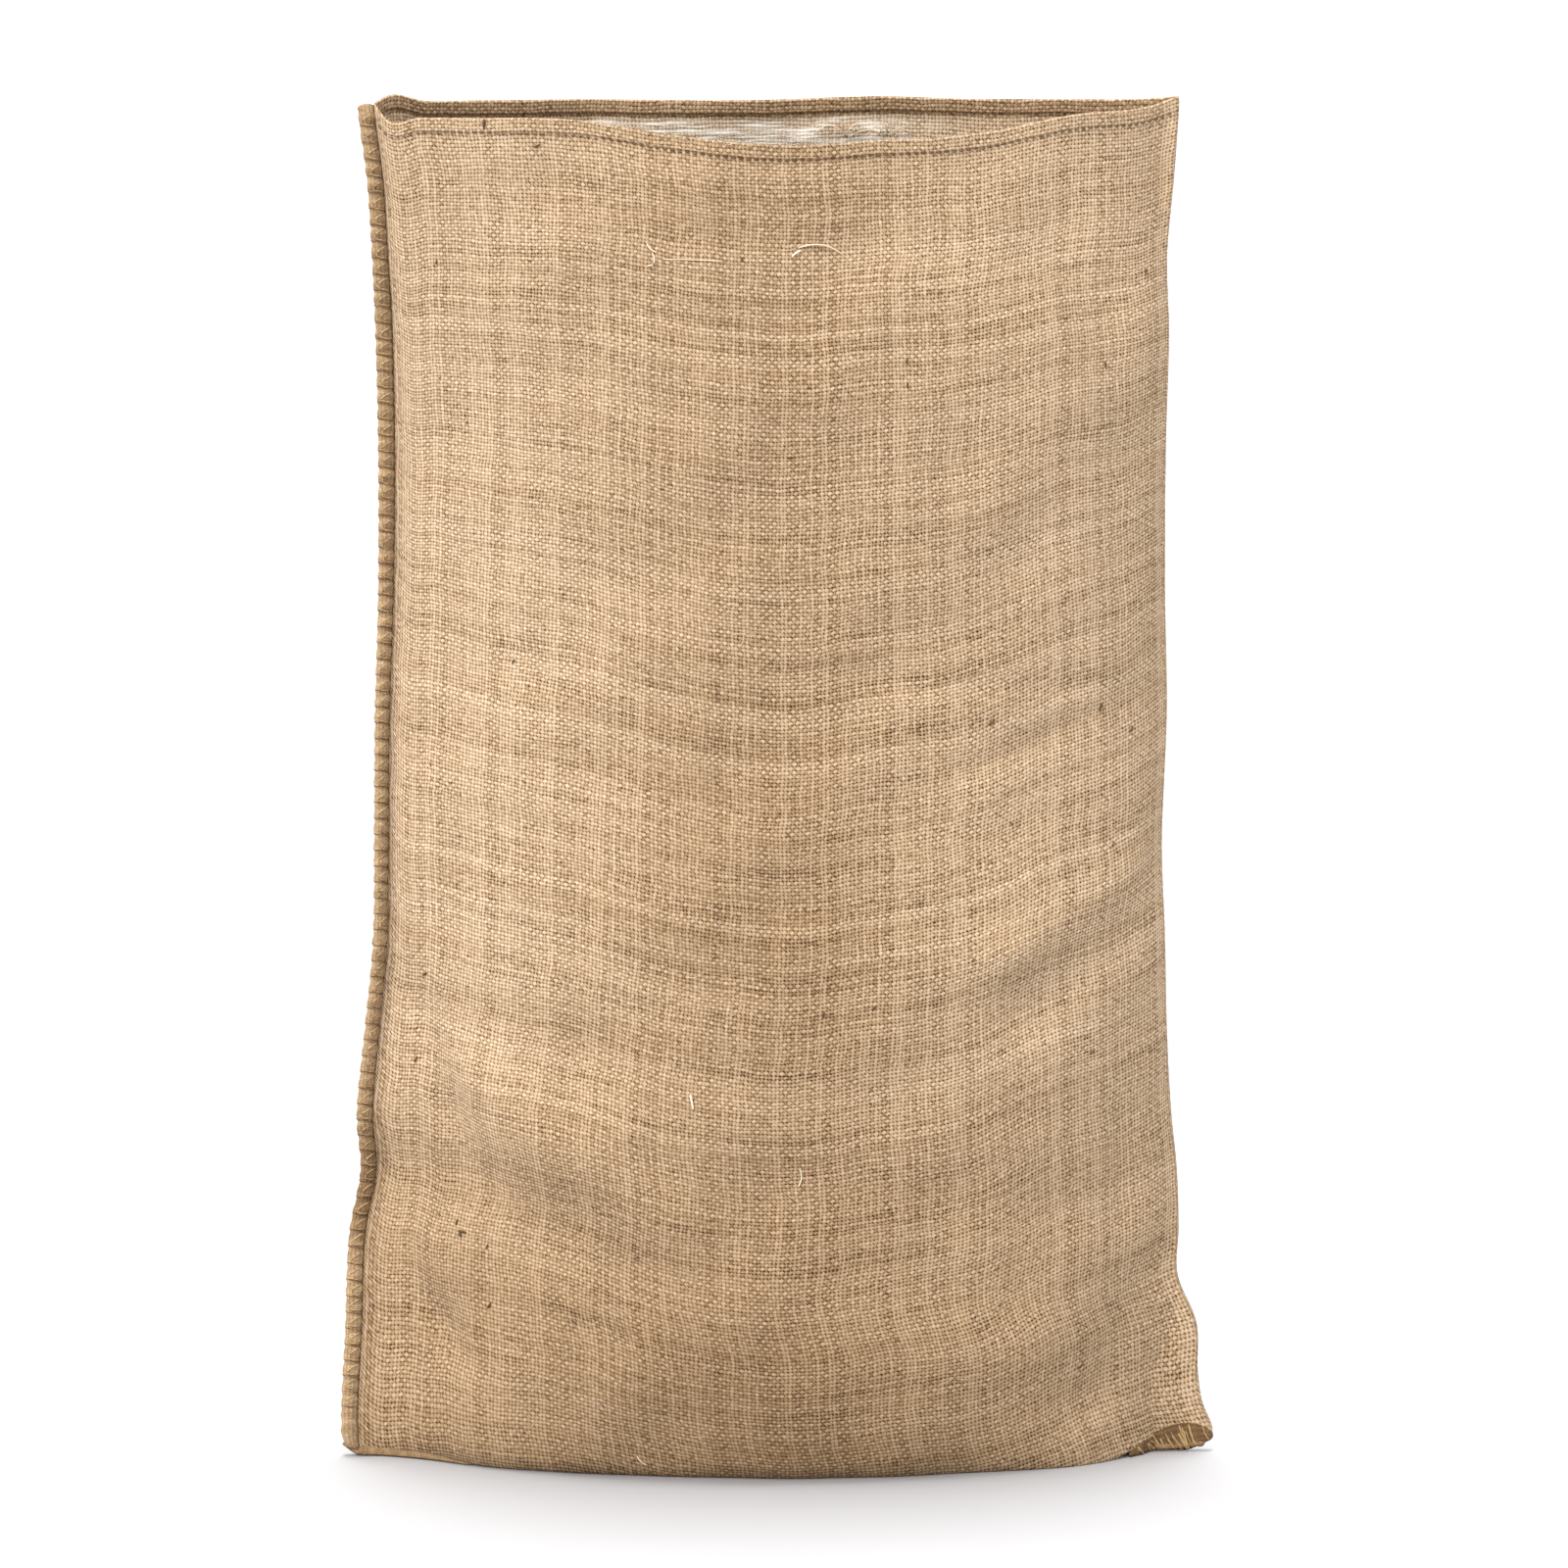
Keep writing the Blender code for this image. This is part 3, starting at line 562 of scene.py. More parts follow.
# %% Each yarn's own thickness, its slubs, and how far it strays to either side
FRAYS_PER_METRE = 800.0
fray = add(tree, "TexNoise", {"Vector": flat, "Scale": FRAYS_PER_METRE, "Detail": 1.0})
yarns = {}
for name, number, share, along, first, base, own_share, thicker in (
    ("warp", warp_number, warp_share, down_yarns, 0.5, open_part, 0.16, -0.05),
    ("weft", weft_number, weft_share, across_yarns, 511.5, weft_open, 0.26, 0.03),
):
    lane = add(tree, "Math ADD", [number, first])
    own = add(tree, "TexWhiteNoise 1D", {"W": lane})
    lane_way = add(tree, "Math MULTIPLY", [lane, 5.37])
    run_way = add(tree, "Math MULTIPLY", [along, 0.42])
    run = add(tree, "CombineXYZ", [lane_way, run_way])
    slubs = add(tree, "TexNoise 2D", {"Vector": run, "Scale": 1.0, "Detail": 2.0})
    slub_parts = add(tree, "SeparateColor", [slubs.outputs["Color"]])
    strayed = add(tree, "Math MULTIPLY_ADD", [slub_parts.outputs[1], 0.50, -0.80])
    frayed = layered(tree, strayed, [(fray, 0.10)])
    place = add(tree, "Math ADD", [share, frayed])
    width = layered(tree, base, [(slubs, 0.50), (own, own_share)])
    width = add(tree, "Math ADD", [width, thicker])
    width = add(tree, "Math MINIMUM", [width, 0.50])
    yarns[name] = {"own": own, "slubs": slubs, "place": place, "width": width}
print("each yarn keeps its own width, strays by a quarter of a pitch and frays by a twentieth")

# %% The height of the cloth: the higher of two rounded yarns that rise and dip in turn
CRIMP = 0.55
yarn_heights, covers = [], []
for name, other, sign in (("warp", "weft", CRIMP), ("weft", "warp", -CRIMP)):
    share = add(tree, "Math DIVIDE", [yarns[name]["place"], yarns[name]["width"]])
    square = add(tree, "Math MULTIPLY", [share, share])
    left_over = add(tree, "Math SUBTRACT", [1.0, square], use_clamp=True)
    rounded = add(tree, "Math SQRT", [left_over])
    covers.append(rounded)
    turn = add(tree, "Math MULTIPLY", [yarns[other]["place"], math.pi])
    wave = add(tree, "Math COSINE", [turn])
    signed = add(tree, "Math MULTIPLY", [wave, over])
    crimp = add(tree, "Math MULTIPLY", [signed, sign])
    yarn_heights.append(add(tree, "Math MULTIPLY_ADD", [rounded, 1.5, crimp]))
warp_high, weft_high = yarn_heights
top = add(tree, "Math MAXIMUM", [warp_high, weft_high])
warp_shows = add(tree, "Math GREATER_THAN", [warp_high, weft_high])
height = add(tree, "MapRange", [top, -CRIMP, 1.5 + CRIMP, 0.0, 1.0])
print("each yarn rises and dips by", CRIMP, "of its half width")

# %% Tone from yarn to yarn, along each yarn, and over the whole cloth
warp, weft = yarns["warp"], yarns["weft"]
own_tone = add(tree, "Mix", [warp_shows, weft["own"], warp["own"]])
slub_tone = add(tree, "Mix", [warp_shows, weft["slubs"], warp["slubs"]])
crossing_number = add(tree, "CombineXYZ", [warp_number, weft_number])
crossing_tone = add(tree, "TexWhiteNoise 2D", {"Vector": crossing_number})
# The spinner's twist turns the fibres about 25 degrees off each yarn's own line.
slow_twist_down = add(tree, "Math MULTIPLY", [down_yarns, 3.2])
slow_twist_across = add(tree, "Math MULTIPLY", [across_yarns, 3.2])
fast_across = layered(tree, slow_twist_down, [(across_yarns, 7.0)])
fast_down = layered(tree, slow_twist_across, [(down_yarns, 7.0)])
warp_fibres = add(tree, "CombineXYZ", [fast_across, down_yarns])
weft_fibres = add(tree, "CombineXYZ", [across_yarns, fast_down])
fibre_way = add(tree, "Mix VECTOR", [warp_shows, weft_fibres, warp_fibres])
fibres = add(tree, "TexNoise 2D", {"Vector": fibre_way, "Scale": 0.9, "Detail": 2.0})
blotch = add(tree, "TexNoise", {"Vector": flat, "Scale": 9.0, "Detail": 4.0, "Roughness": 0.55})
bands = uneven(tree, flat, 3.5, 42.0, 3.0)
stripes = uneven(tree, flat, 46.0, 2.6, 3.0)
# The twist also leans every crown: a painted highlight lightens its two corners along one diagonal,
# where they would catch the light.
crown_highlight = add(tree, "Math MULTIPLY", [warp["place"], weft["place"]])
tone = add(tree, "Math MULTIPLY_ADD", [own_tone, 0.24, -0.140])
# The tone is lower wherever the warp is on top: painted shade that leaves the weft crowns as
# lighter dashes.
tone = layered(tree, tone, [
    (slub_tone, 0.26), (fibres, 0.66), (crossing_tone, 0.12), (warp_shows, -0.09),
    (crown_highlight, -1.1), (blotch, 0.12), (bands, 0.22), (stripes, 0.04),
])
print("weave, relief and tone in", len(tree.nodes), "nodes")

# %% Broad differences over the sack
# A browner lot of warp runs down the front, left of its middle.
lot_far = how_far(tree, u, 0.290)
in_lot = add(tree, "MapRange SMOOTHSTEP", [lot_far, 0.03, 0.19, 1.0, 0.0])
tone = layered(tree, tone, [(in_lot, -0.12)])
# Painted shade darkens the foot, where the cloth turns under towards the floor, most in the middle
# of each panel: the sine is 0 at the seam and the fold.
near_foot = add(tree, "MapRange SMOOTHSTEP", [down_cloth, 0.55, 0.98, 0.0, 1.0])
side_turn = add(tree, "Math MULTIPLY", [u, math.pi / FLAT_WIDTH])
side_sine = add(tree, "Math SINE", [side_turn])
side_height = add(tree, "Math ABSOLUTE", [side_sine])
mid_panel = add(tree, "Math MULTIPLY_ADD", [side_height, 0.80, 0.20])
painted_shade = add(tree, "Math MULTIPLY", [near_foot, mid_panel])
# One patch half way down is darker where the sack is gripped. The lower corner by the seam is
# darker too, as painted shade.
grip_across = beside(tree, u, 0.300, 0.02, 0.13)
grip_down = beside(tree, down_cloth, 0.54, 0.02, 0.16)
gripped = add(tree, "Math MULTIPLY", [grip_across, grip_down])
by_seam = add(tree, "MapRange SMOOTHSTEP", [u, 0.04, 0.24, 1.0, 0.0])
seam_foot = add(tree, "MapRange SMOOTHSTEP", [down_cloth, 0.69, 0.85, 0.0, 1.0])
seam_corner_shade = add(tree, "Math MULTIPLY", [by_seam, seam_foot])
for darker, amount in ((painted_shade, 0.34), (gripped, 0.15), (seam_corner_shade, 0.22)):
    kept_light = add(tree, "Math MULTIPLY_ADD", [darker, -amount, 1.0])
    tone = add(tree, "Math MULTIPLY", [tone, kept_light])
# The hem is a little darker outside, and much darker inside, where it lies in its own shade.
HEM_ENDS, PLAIN_STARTS = 0.0125, 0.0135  # the doubled hem ends between these two
in_band = add(tree, "MapRange", [v, -PLAIN_STARTS, -HEM_ENDS, 0.0, 1.0])
inside = add(tree, "MapRange", [v, -0.0030, 0.0010, 1.0, 0.0])
inner_band = add(tree, "Math MULTIPLY", [in_band, inside])
on_hem = add(tree, "MapRange", [v, 0.0100, 0.0110, 1.0, 0.0])
outer_hem = add(tree, "Math MULTIPLY", [on_hem, side_sign])
# The painted glow behind the mouth also raises the tone.
tone = layered(tree, tone, [(painted_glow, 0.15), (inner_band, -0.30), (outer_hem, -0.06)])
print("soiled foot, grip marks and hem in", len(tree.nodes), "nodes")

# %% Colour: a painted highlight on the crowns, painted shade in the gaps, and a darker tone is a browner one
CROWN_HIGHLIGHT_COLOUR, MID_FIBRE, GAP_SHADE_COLOUR, PAINTED_GLOW_WHITE = "#CCB79E", "#7D5F3C", "#321B04", "#F4EEE2"
RED_POWER, BLUE_POWER = 0.82, 1.28
# The colour follows the height: painted shade where the yarns dip between crowns, and a painted
# highlight on the crowns.
deep_to_mid = add(tree, "MapRange SMOOTHSTEP", [height, 0.20, 0.64, 0.0, 1.0])
mid_to_pale = add(tree, "MapRange SMOOTHSTEP", [height, 0.50, 0.95, 0.0, 1.0])
body_colour = add(tree, "Mix RGBA", [deep_to_mid, linear(GAP_SHADE_COLOUR), linear(MID_FIBRE)])
crown_colour = add(tree, "Mix RGBA", [mid_to_pale, body_colour, linear(CROWN_HIGHLIGHT_COLOUR)])
red_tone = add(tree, "Math POWER", [tone, RED_POWER])
blue_tone = add(tree, "Math POWER", [tone, BLUE_POWER])
tone_colour = add(tree, "CombineColor", [red_tone, tone, blue_tone])
tinted = add(tree, "Mix RGBA", [1.0, crown_colour, tone_colour], blend_type="MULTIPLY")
# Painted light on the back's inner face behind the mouth: streaks mixed towards white where light
# would shine through the loose weave.
streaks = uneven(tree, flat, 34.0, 370.0, 2.0)
streaked = add(tree, "MapRange", [streaks, 0.44, 0.62, 0.05, 0.85])
whitened = add(tree, "Math MULTIPLY", [streaked, painted_glow])
yarn_colour = add(tree, "Mix RGBA", [whitened, tinted, linear(PAINTED_GLOW_WHITE)])
print("from deep gap to pale crown:", GAP_SHADE_COLOUR, MID_FIBRE, CROWN_HIGHLIGHT_COLOUR)

# %% The hem's sewn line, the open gaps, and the relief
STITCH_LINE, STITCH_STEP = 0.0105, 0.0055
THREAD_AND_HOLLOW_SHADE = "#4A3116"
# Under each stitch lies a dark dash: partly the brown thread's colour, and partly painted shade in
# the hollow where the stitch pulls the cloth in.
on_line = beside(tree, down_cloth, STITCH_LINE, 0.0005, 0.0010)
stitch_turn = add(tree, "Math MULTIPLY", [u, 1.0 / STITCH_STEP])
stitch_part = add(tree, "Math FRACT", [stitch_turn])
in_dash = beside(tree, stitch_part, 0.5, 0.28, 0.36)
dash = add(tree, "Math MULTIPLY", [on_line, in_dash])
# Each stitch is pulled by its own amount, hardest over the middle of the front, and the painted
# shade of its dash follows the pull.
stitch_number = add(tree, "Math FLOOR", [stitch_turn])
own_pull = add(tree, "TexWhiteNoise 1D", {"W": stitch_number})
by_place = add(tree, "MapRange", [lot_far, 0.02, 0.16, 0.90, 0.45])
pull_share = add(tree, "MapRange", [own_pull, 0.0, 1.0, 0.35, 1.10])
pulled = add(tree, "Math MULTIPLY", [by_place, pull_share], use_clamp=True)
dash_shade = add(tree, "Math MULTIPLY", [dash, pulled])
sewn_colour = add(tree, "Mix RGBA", [dash_shade, yarn_colour, linear(THREAD_AND_HOLLOW_SHADE)])
# A gap opens where neither yarn covers the cloth, but the doubled hem has none.
below_hem = add(tree, "MapRange", [down_cloth, HEM_ENDS, PLAIN_STARTS, 0.0, 1.0])
covered = add(tree, "Math MAXIMUM", covers)
gap_depth = add(tree, "MapRange", [covered, 0.04, 0.22, 1.0, 0.0])
hole = add(tree, "Math MULTIPLY", [gap_depth, below_hem])
solid = add(tree, "Math SUBTRACT", [1.0, hole])
dashed_height = add(tree, "Math MULTIPLY_ADD", [dash, -0.6, height])
relief = add(tree, "Bump", {"Strength": 1.0, "Distance": 0.0006, "Height": dashed_height})
connect(tree, hessian_shader, {"Base Color": sewn_colour, "Alpha": solid, "Normal": relief})
print("hessian has", len(tree.nodes), "nodes")

# %% The cloth itself
number = np.arange(grid.shape[0] * grid.shape[1]).reshape(grid.shape[:2])
mirrored = np.concatenate([np.arange(COLUMNS + 1), np.arange(COLUMNS - 1, 0, -1)])
number[0] = number[0, mirrored]
number[-1] = number[-1, mirrored]
ring = np.concatenate([number, number[:, :1]], axis=1)
cloth_quads = grid_quads(ring).reshape(-1, 4)
cloth_uv = grid_quads(np.arange(uv.shape[0] * uv.shape[1]).reshape(uv.shape[:2])).reshape(-1)
used, packed = np.unique(cloth_quads, return_inverse=True)
cloth = lay_piece(
    "sack_hessian",
    (grid.reshape(-1, 3)[used], packed.reshape(-1, 4), uv.reshape(-1, 2)[cloth_uv]),
    hessian,
)
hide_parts("sack_cloth")

# %% [markdown]
# ## Yarns are tubes with their own flat map
# Every other piece is yarn or thread. A tube is a ring of points carried along a path. Blender's
# curves can be bevelled into tubes too, but worked out as arrays, hundreds of stitches are made
# at once, and each gets a UV map: round it from 0 to 1, plus a whole number that tells one strand
# from the next, and along it in metres. A spun yarn's twist is a sine of the two together.

# %% Tubes along many paths at once
def circle(points):
    """The angles of that many points round a ring, in radians."""
    return 2.0 * np.pi * np.arange(points) / points


def tubes(paths, radius, sides=6):
    """A tube round each path: ring point = path + r (side cos a + up sin a), where side and up
    are square to the path. paths is lines x points x 3, and radius is lines x points.
    """
    along = np.gradient(paths, axis=1)
    along /= np.linalg.norm(along, axis=-1, keepdims=True) + 1.0e-12
    steady = np.where(np.abs(along[..., 2:]) > 0.8, [1.0, 0.0, 0.0], [0.0, 0.0, 1.0])
    side = np.cross(along, steady)
    side /= np.linalg.norm(side, axis=-1, keepdims=True)
    up = np.cross(along, side)
    a = circle(sides)
    turn = np.cos(a)[:, None] * side[:, :, None] + np.sin(a)[:, None] * up[:, :, None]
    points = paths[:, :, None] + radius[:, :, None, None] * turn
    lines, steps = paths.shape[:2]
    number = np.arange(lines * steps * sides).reshape(lines, steps, sides)
    ring = np.concatenate([number, number[:, :, :1]], axis=2)
    lengths = np.linalg.norm(np.diff(paths, axis=1), axis=-1)
    far = np.concatenate([np.zeros((lines, 1)), np.cumsum(lengths, axis=1)], axis=1)
    round_it = np.arange(lines)[:, None, None] + 0.998 * np.arange(sides + 1) / sides
    flat_map = np.stack(np.broadcast_arrays(round_it, far[:, :, None]), axis=-1)
    half = [[0, 1, 2, 3], [0, 3, 4, 5]] if sides == 6 else [[0, 1, 2, 3]]
    first = number[:, 0][:, half].reshape(-1, 4)[:, ::-1]
    last = number[:, -1][:, half].reshape(-1, 4)
    quads = np.concatenate([tube_quads(ring).reshape(-1, 4), first, last])
    ends = [np.repeat(flat_map[:, end, 0], 4 * len(half), axis=0) for end in (0, -1)]
    corner_uv = np.concatenate([tube_quads(flat_map).reshape(-1, 2), *ends])
    return points.reshape(-1, 3), quads, corner_uv


def tube_quads(rings):
    """The corners of each face between neighbouring points of many grids, lines first."""
    return np.stack([rings[:, :-1, :-1], rings[:, :-1, 1:], rings[:, 1:, 1:], rings[:, 1:, :-1]], 3)


def tapered(lines, steps, radius, ends=0.3):
    """A radius that is whole along a thread and a share of itself at its two ends."""
    t = np.linspace(0.0, 1.0, steps)
    whole = np.minimum(1.0, 12.0 * t * (1.0 - t))
    return radius * np.ones((lines, 1)) * (ends + (1.0 - ends) * whole)


def joined(shapes):
    """Several shapes of points, faces and corner UV as one, with the faces renumbered."""
    starts = np.cumsum([0] + [len(shape[0]) for shape in shapes[:-1]])
    quads = [shape[1] + start for shape, start in zip(shapes, starts)]
    points, corner_uv = ([shape[i] for shape in shapes] for i in (0, 2))
    return np.concatenate(points), np.concatenate(quads), np.concatenate(corner_uv)


print("a ring of six points turns by", round(math.degrees(circle(6)[1])), "degrees a step")

# %% Yarn and thread as a material
def yarn_material(name, pale, deep, twist, fibre_share):
    """Two plies turned once in each length of twist: tone = sine(2 pi (2 round + along / twist)),
    with fibres drawn along it, and each strand a little lighter or darker than the next.
    """
    material, tree, shader = new_material(name, 0.86)
    laid = add(tree, "UVMap", uv_map="laid_flat")
    ways = add(tree, "SeparateXYZ", [laid])
    round_turn = add(tree, "Math MULTIPLY", [ways.outputs["X"], 4.0 * math.pi])
    per_metre = 2.0 * math.pi / twist
    turn = add(tree, "Math MULTIPLY_ADD", [ways.outputs["Y"], per_metre, round_turn])
    ply = add(tree, "Math SINE", [turn])
    fibres = uneven(tree, laid, 5.0, 420.0, 3.0, "TexNoise 2D", 0.6)
    strand = add(tree, "Math FLOOR", [ways.outputs["X"]])
    own = add(tree, "TexWhiteNoise 1D", {"W": strand})
    level = add(tree, "Math MULTIPLY_ADD", [ply, 0.22, 0.30])
    level = layered(tree, level, [(fibres, fibre_share)])
    level = add(tree, "Math MULTIPLY_ADD", [own, 0.30, level], use_clamp=True)
    colour = add(tree, "Mix RGBA", [level, linear(deep), linear(pale)])
    relief_height = add(tree, "Math MULTIPLY_ADD", [fibres, 0.5, ply])
    relief = add(tree, "Bump", {"Strength": 0.8, "Distance": 0.00012, "Height": relief_height})
    connect(tree, shader, {"Base Color": colour, "Normal": relief})
    return material


# Undyed single jute yarn, as on a welt: tan, with dark bark left in it.
jute_yarn = yarn_material("whipping_jute_yarn", "#B79A72", "#5E4526", 0.0042, 0.50)
# Thread that has sunk into the hem and lies in its own shade: it reads dark brown.
brown_thread = yarn_material("brown_hem_thread", "#6B4A25", "#2F1D0B", 0.0026, 0.40)
# Single fibres that the loom and handling pulled loose: pale straw, half bleached.
loose_fibre = yarn_material("loose_jute_fibre", "#EBDCC2", "#B99B72", 0.0300, 0.30)
# Specks of bark from the jute plant's stem, spun into the yarn.
bark = yarn_material("jute_bark_specks", "#5A4224", "#2A1B0B", 0.0100, 0.60)
print("yarns:", jute_yarn.name, brown_thread.name, loose_fibre.name, bark.name)


# %% Points on the cloth, for what lies on it
def on_cloth(share, height, front, lift):
    """Points on the outer face at shares across and heights, raised by lift along the normal,
    which is square to a short step down and a short step across.
    """
    share, height = np.clip(share, 0.004, 0.996), np.clip(height, 0.004, 0.9675)
    places = [(share, height), (share - 0.003, height), (share + 0.003, height)]
    places += [(share, height + 0.001), (share, height - 0.001)]
    here, left, right, above, below = (
        wall(level_at(row_at(z)), s[:, None], front, False)[0][:, 0] for s, z in places
    )
    normal = np.cross(below - above, right - left) * (1.0 if front else -1.0)
    normal /= np.linalg.norm(normal, axis=1, keepdims=True)
    return here + normal * np.reshape(lift, (-1, 1))


half_way = np.array([0.5])
print("middle of the front", on_cloth(half_way, half_way, True, 0.0)[0].round(3))

# %% [markdown]
# ## The whipped side seam
# The two edges of the cloth are pressed together outside the seam and oversewn with a machine
# that wraps them in jute yarn, so a soft welt about 11 mm wide runs from the hem to the foot.
# Its section is a flat oval, carried down the seam's own line and turned to the front as the
# seam leans. Slanting ridges, one to a stitch, are part of the surface, since they show in its
# outline. The stitches themselves lie over it afterwards, as separate yarns.

# %% The line that the seam follows
STITCH_PITCH = 0.0115
SEAM_HALF_WIDTH = 0.0060
SEAM_MIDDLE = 0.0050
SEAM_HALF_DEPTH = 0.0029


def seam_frame(height):
    """Points down the side seam at the given heights above the floor, and the directions out
    from the sack and over to its back: out = (-cos lean, -sin lean), over = (-sin lean, cos lean).
    """
    level = level_at(row_at(height))
    x, y = level["left"], level["seam_y"]
    near_floor = np.clip(1.0 - level["height"] / FLOOR_BEND, 0.0, 1.0)
    z = level["height"] - mouth_sag(level, np.zeros(1), True) + SEAM_ROOF * near_floor
    lean = np.radians(level["lean"])
    out = np.concatenate([-np.cos(lean), -np.sin(lean), 0.0 * lean], axis=1)
    over = np.concatenate([-np.sin(lean), np.cos(lean), 0.0 * lean], axis=1)
    return np.concatenate([x, y, z], axis=1) + SHIFT, out, over


print("side seam half way up", seam_frame(half_way)[0][0].round(3))

# %% A closed band: rings of points with both ends filled
OUTWARDS = [0, 3, 2, 1]  # every band's rings turn so that this order of corners faces out


def closed_band(rings):
    """Faces between the rings, and each end filled by a ladder of faces across it. The UV is the
    share round each ring, and the length along the band in metres.
    """
    steps, count = rings.shape[:2]
    number = np.arange(steps * count).reshape(steps, count)
    ring = np.concatenate([number, number[:, :1]], axis=1)
    fold = np.arange(1, count // 2)
    cap = np.stack([fold, fold - 1, -fold % count, (-fold - 1) % count], axis=-1)
    around = grid_quads(ring)[..., OUTWARDS].reshape(-1, 4)
    quads = np.concatenate([around, number[0][cap], number[-1][cap[:, ::-1]]])
    middle = rings.mean(axis=1)
    far = np.concatenate([[0.0], np.cumsum(np.linalg.norm(np.diff(middle, axis=0), axis=1))])
    round_it = np.arange(count + 1) / count
    flat_map = np.stack(np.broadcast_arrays(round_it[None], far[:, None]), axis=-1)
    wall_uv = grid_quads(np.arange(steps * (count + 1)).reshape(steps, count + 1))
    wall_uv = wall_uv[..., OUTWARDS].reshape(-1)
    ends = [np.repeat(flat_map[end, :1], 4 * len(fold), axis=0) for end in (0, -1)]
    return rings.reshape(-1, 3), quads, np.concatenate([flat_map.reshape(-1, 2)[wall_uv], *ends])


def ends_rounded(turns):
    """1 along the band, and a quarter circle down to a blunt end over a quarter of a stitch."""
    return np.sqrt(np.clip(1.0 - (1.0 - np.clip(turns * 4.0, 0.0, 1.0)) ** 2, 0.05, 1.0))


# %% [markdown]
# ## What the welt is wrapped in
# Seen close, the wrapping is many turns of soft brown yarn, slanting, with painted shade between
# the turns and a painted shadow line along the welt's root, where it meets the cloth. Its tone
# follows the length as painted shade: palest half way down, where the cloth's own edge shows
# between the turns, and darkest at the top and just above the foot. One slanting stripe stands
# for each stitch, and nine fine ones for its turns of yarn.

# %% Whipping as a material
SHADED_TURN, PALE_TURN = "#72502F", "#E6C69B"


def whipping_material(name, tone_stops):
    """Stripes of tone: stitch = cosine(2 pi (along / pitch - 0.18 sin(2 pi round))), and yarn
    the same nine times finer.
    """
    material, tree, shader = new_material(name, 0.92)
    laid = add(tree, "UVMap", uv_map="laid_flat")
    ways = add(tree, "SeparateXYZ", [laid])
    round_turn = add(tree, "Math MULTIPLY", [ways.outputs["X"], 2.0 * math.pi])
    slant = add(tree, "Math SINE", [round_turn])
    stitches = add(tree, "Math MULTIPLY", [ways.outputs["Y"], 1.0 / STITCH_PITCH])
    wobble = uneven(tree, laid, 2.0, 130.0, 3.0)
    place = layered(tree, stitches, [(slant, -0.18), (wobble, 0.55)])
    stitch_turn = add(tree, "Math MULTIPLY", [place, 2.0 * math.pi])
    stitch = add(tree, "Math COSINE", [stitch_turn])
    yarn_turn = add(tree, "Math MULTIPLY", [place, 18.0 * math.pi])
    yarns = add(tree, "Math SINE", [yarn_turn])
    cross_turn = layered(tree, yarn_turn, [(ways.outputs["X"], 24.0 * math.pi)])
    crossing = add(tree, "Math SINE", [cross_turn])
    woven = add(tree, "Math MULTIPLY", [yarns, crossing])
    fibres = uneven(tree, laid, 26.0, 900.0, 3.0, "TexNoise 2D", 0.65)
    # A painted shadow line along the welt's root, where it meets the cloth.
    root = beside(tree, ways.outputs["X"], 0.5, 0.06, 0.14)
    level = add(tree, "Math MULTIPLY_ADD", [stitch, 0.10, 0.06])
    level = layered(tree, level, [(root, -0.45), (woven, 0.20), (fibres, 0.60)])
    level = add(tree, "Math MULTIPLY_ADD", [wobble, 0.35, level], use_clamp=True)
    colour = add(tree, "Mix RGBA", [level, linear(SHADED_TURN), linear(PALE_TURN)])
    ramp = add(tree, "ValToRGB", [ways.outputs["Y"]])
    while len(ramp.color_ramp.elements) < len(tone_stops):
        ramp.color_ramp.elements.new(0.5)
    for stop, (place_down, strength) in zip(ramp.color_ramp.elements, tone_stops):
        stop.position = place_down
        stop.color = (strength**0.85, strength, strength**1.25, 1.0)
    toned = add(tree, "Mix RGBA", [1.0, colour, ramp], blend_type="MULTIPLY")
    relief_height = add(tree, "Math MULTIPLY_ADD", [woven, 0.50, fibres])
    relief = add(tree, "Bump", {"Strength": 1.0, "Distance": 0.0009, "Height": relief_height})
    connect(tree, shader, {"Base Color": toned, "Normal": relief})
    return material


# Painted shade down the side welt: darker at the top, and darkest where it turns away just above
# the foot.
SIDE_SHADE_TONES = (
    (0.0, 0.82), (0.30, 0.84), (0.38, 1.00), (0.66, 1.00),
    (0.73, 0.80), (0.76, 0.50), (0.79, 0.54), (0.83, 0.98), (0.95, 0.92),
)
side_whipping = whipping_material("side_seam_whipping", SIDE_SHADE_TONES)
print(side_whipping.name, "with", len(SIDE_SHADE_TONES), "tones down its length")

# %% The welt
WELT_STEPS, WELT_POINTS = 1100, 22
WELT_TOP, WELT_FOOT = 0.9685, 0.0005
CORNER_ROUND = 0.013
KNOT_FAST, KNOT_SLOW = 731.0, 293.0  # two waves in radians a metre, whose product looks random
welt_height = np.linspace(WELT_TOP, WELT_FOOT, WELT_STEPS)
base, out, over_way = (part[:, None] for part in seam_frame(welt_height))
angle = circle(WELT_POINTS)[None]
turns = (WELT_TOP - welt_height)[:, None] / STITCH_PITCH
ridge_turn = turns - 0.18 * np.sin(angle) + 0.12 * np.sin(turns * 1.7)
ridge = 0.5 + 0.5 * np.cos(2.0 * np.pi * ridge_turn)
knots = np.sin(welt_height * KNOT_FAST) * np.sin(welt_height * KNOT_SLOW + 1.0)
swell = 0.0007 * ridge + 0.0003 * knots[:, None] * np.cos(3.0 * angle)
blunt = ends_rounded(turns) * ends_rounded(welt_height[:, None] / STITCH_PITCH)
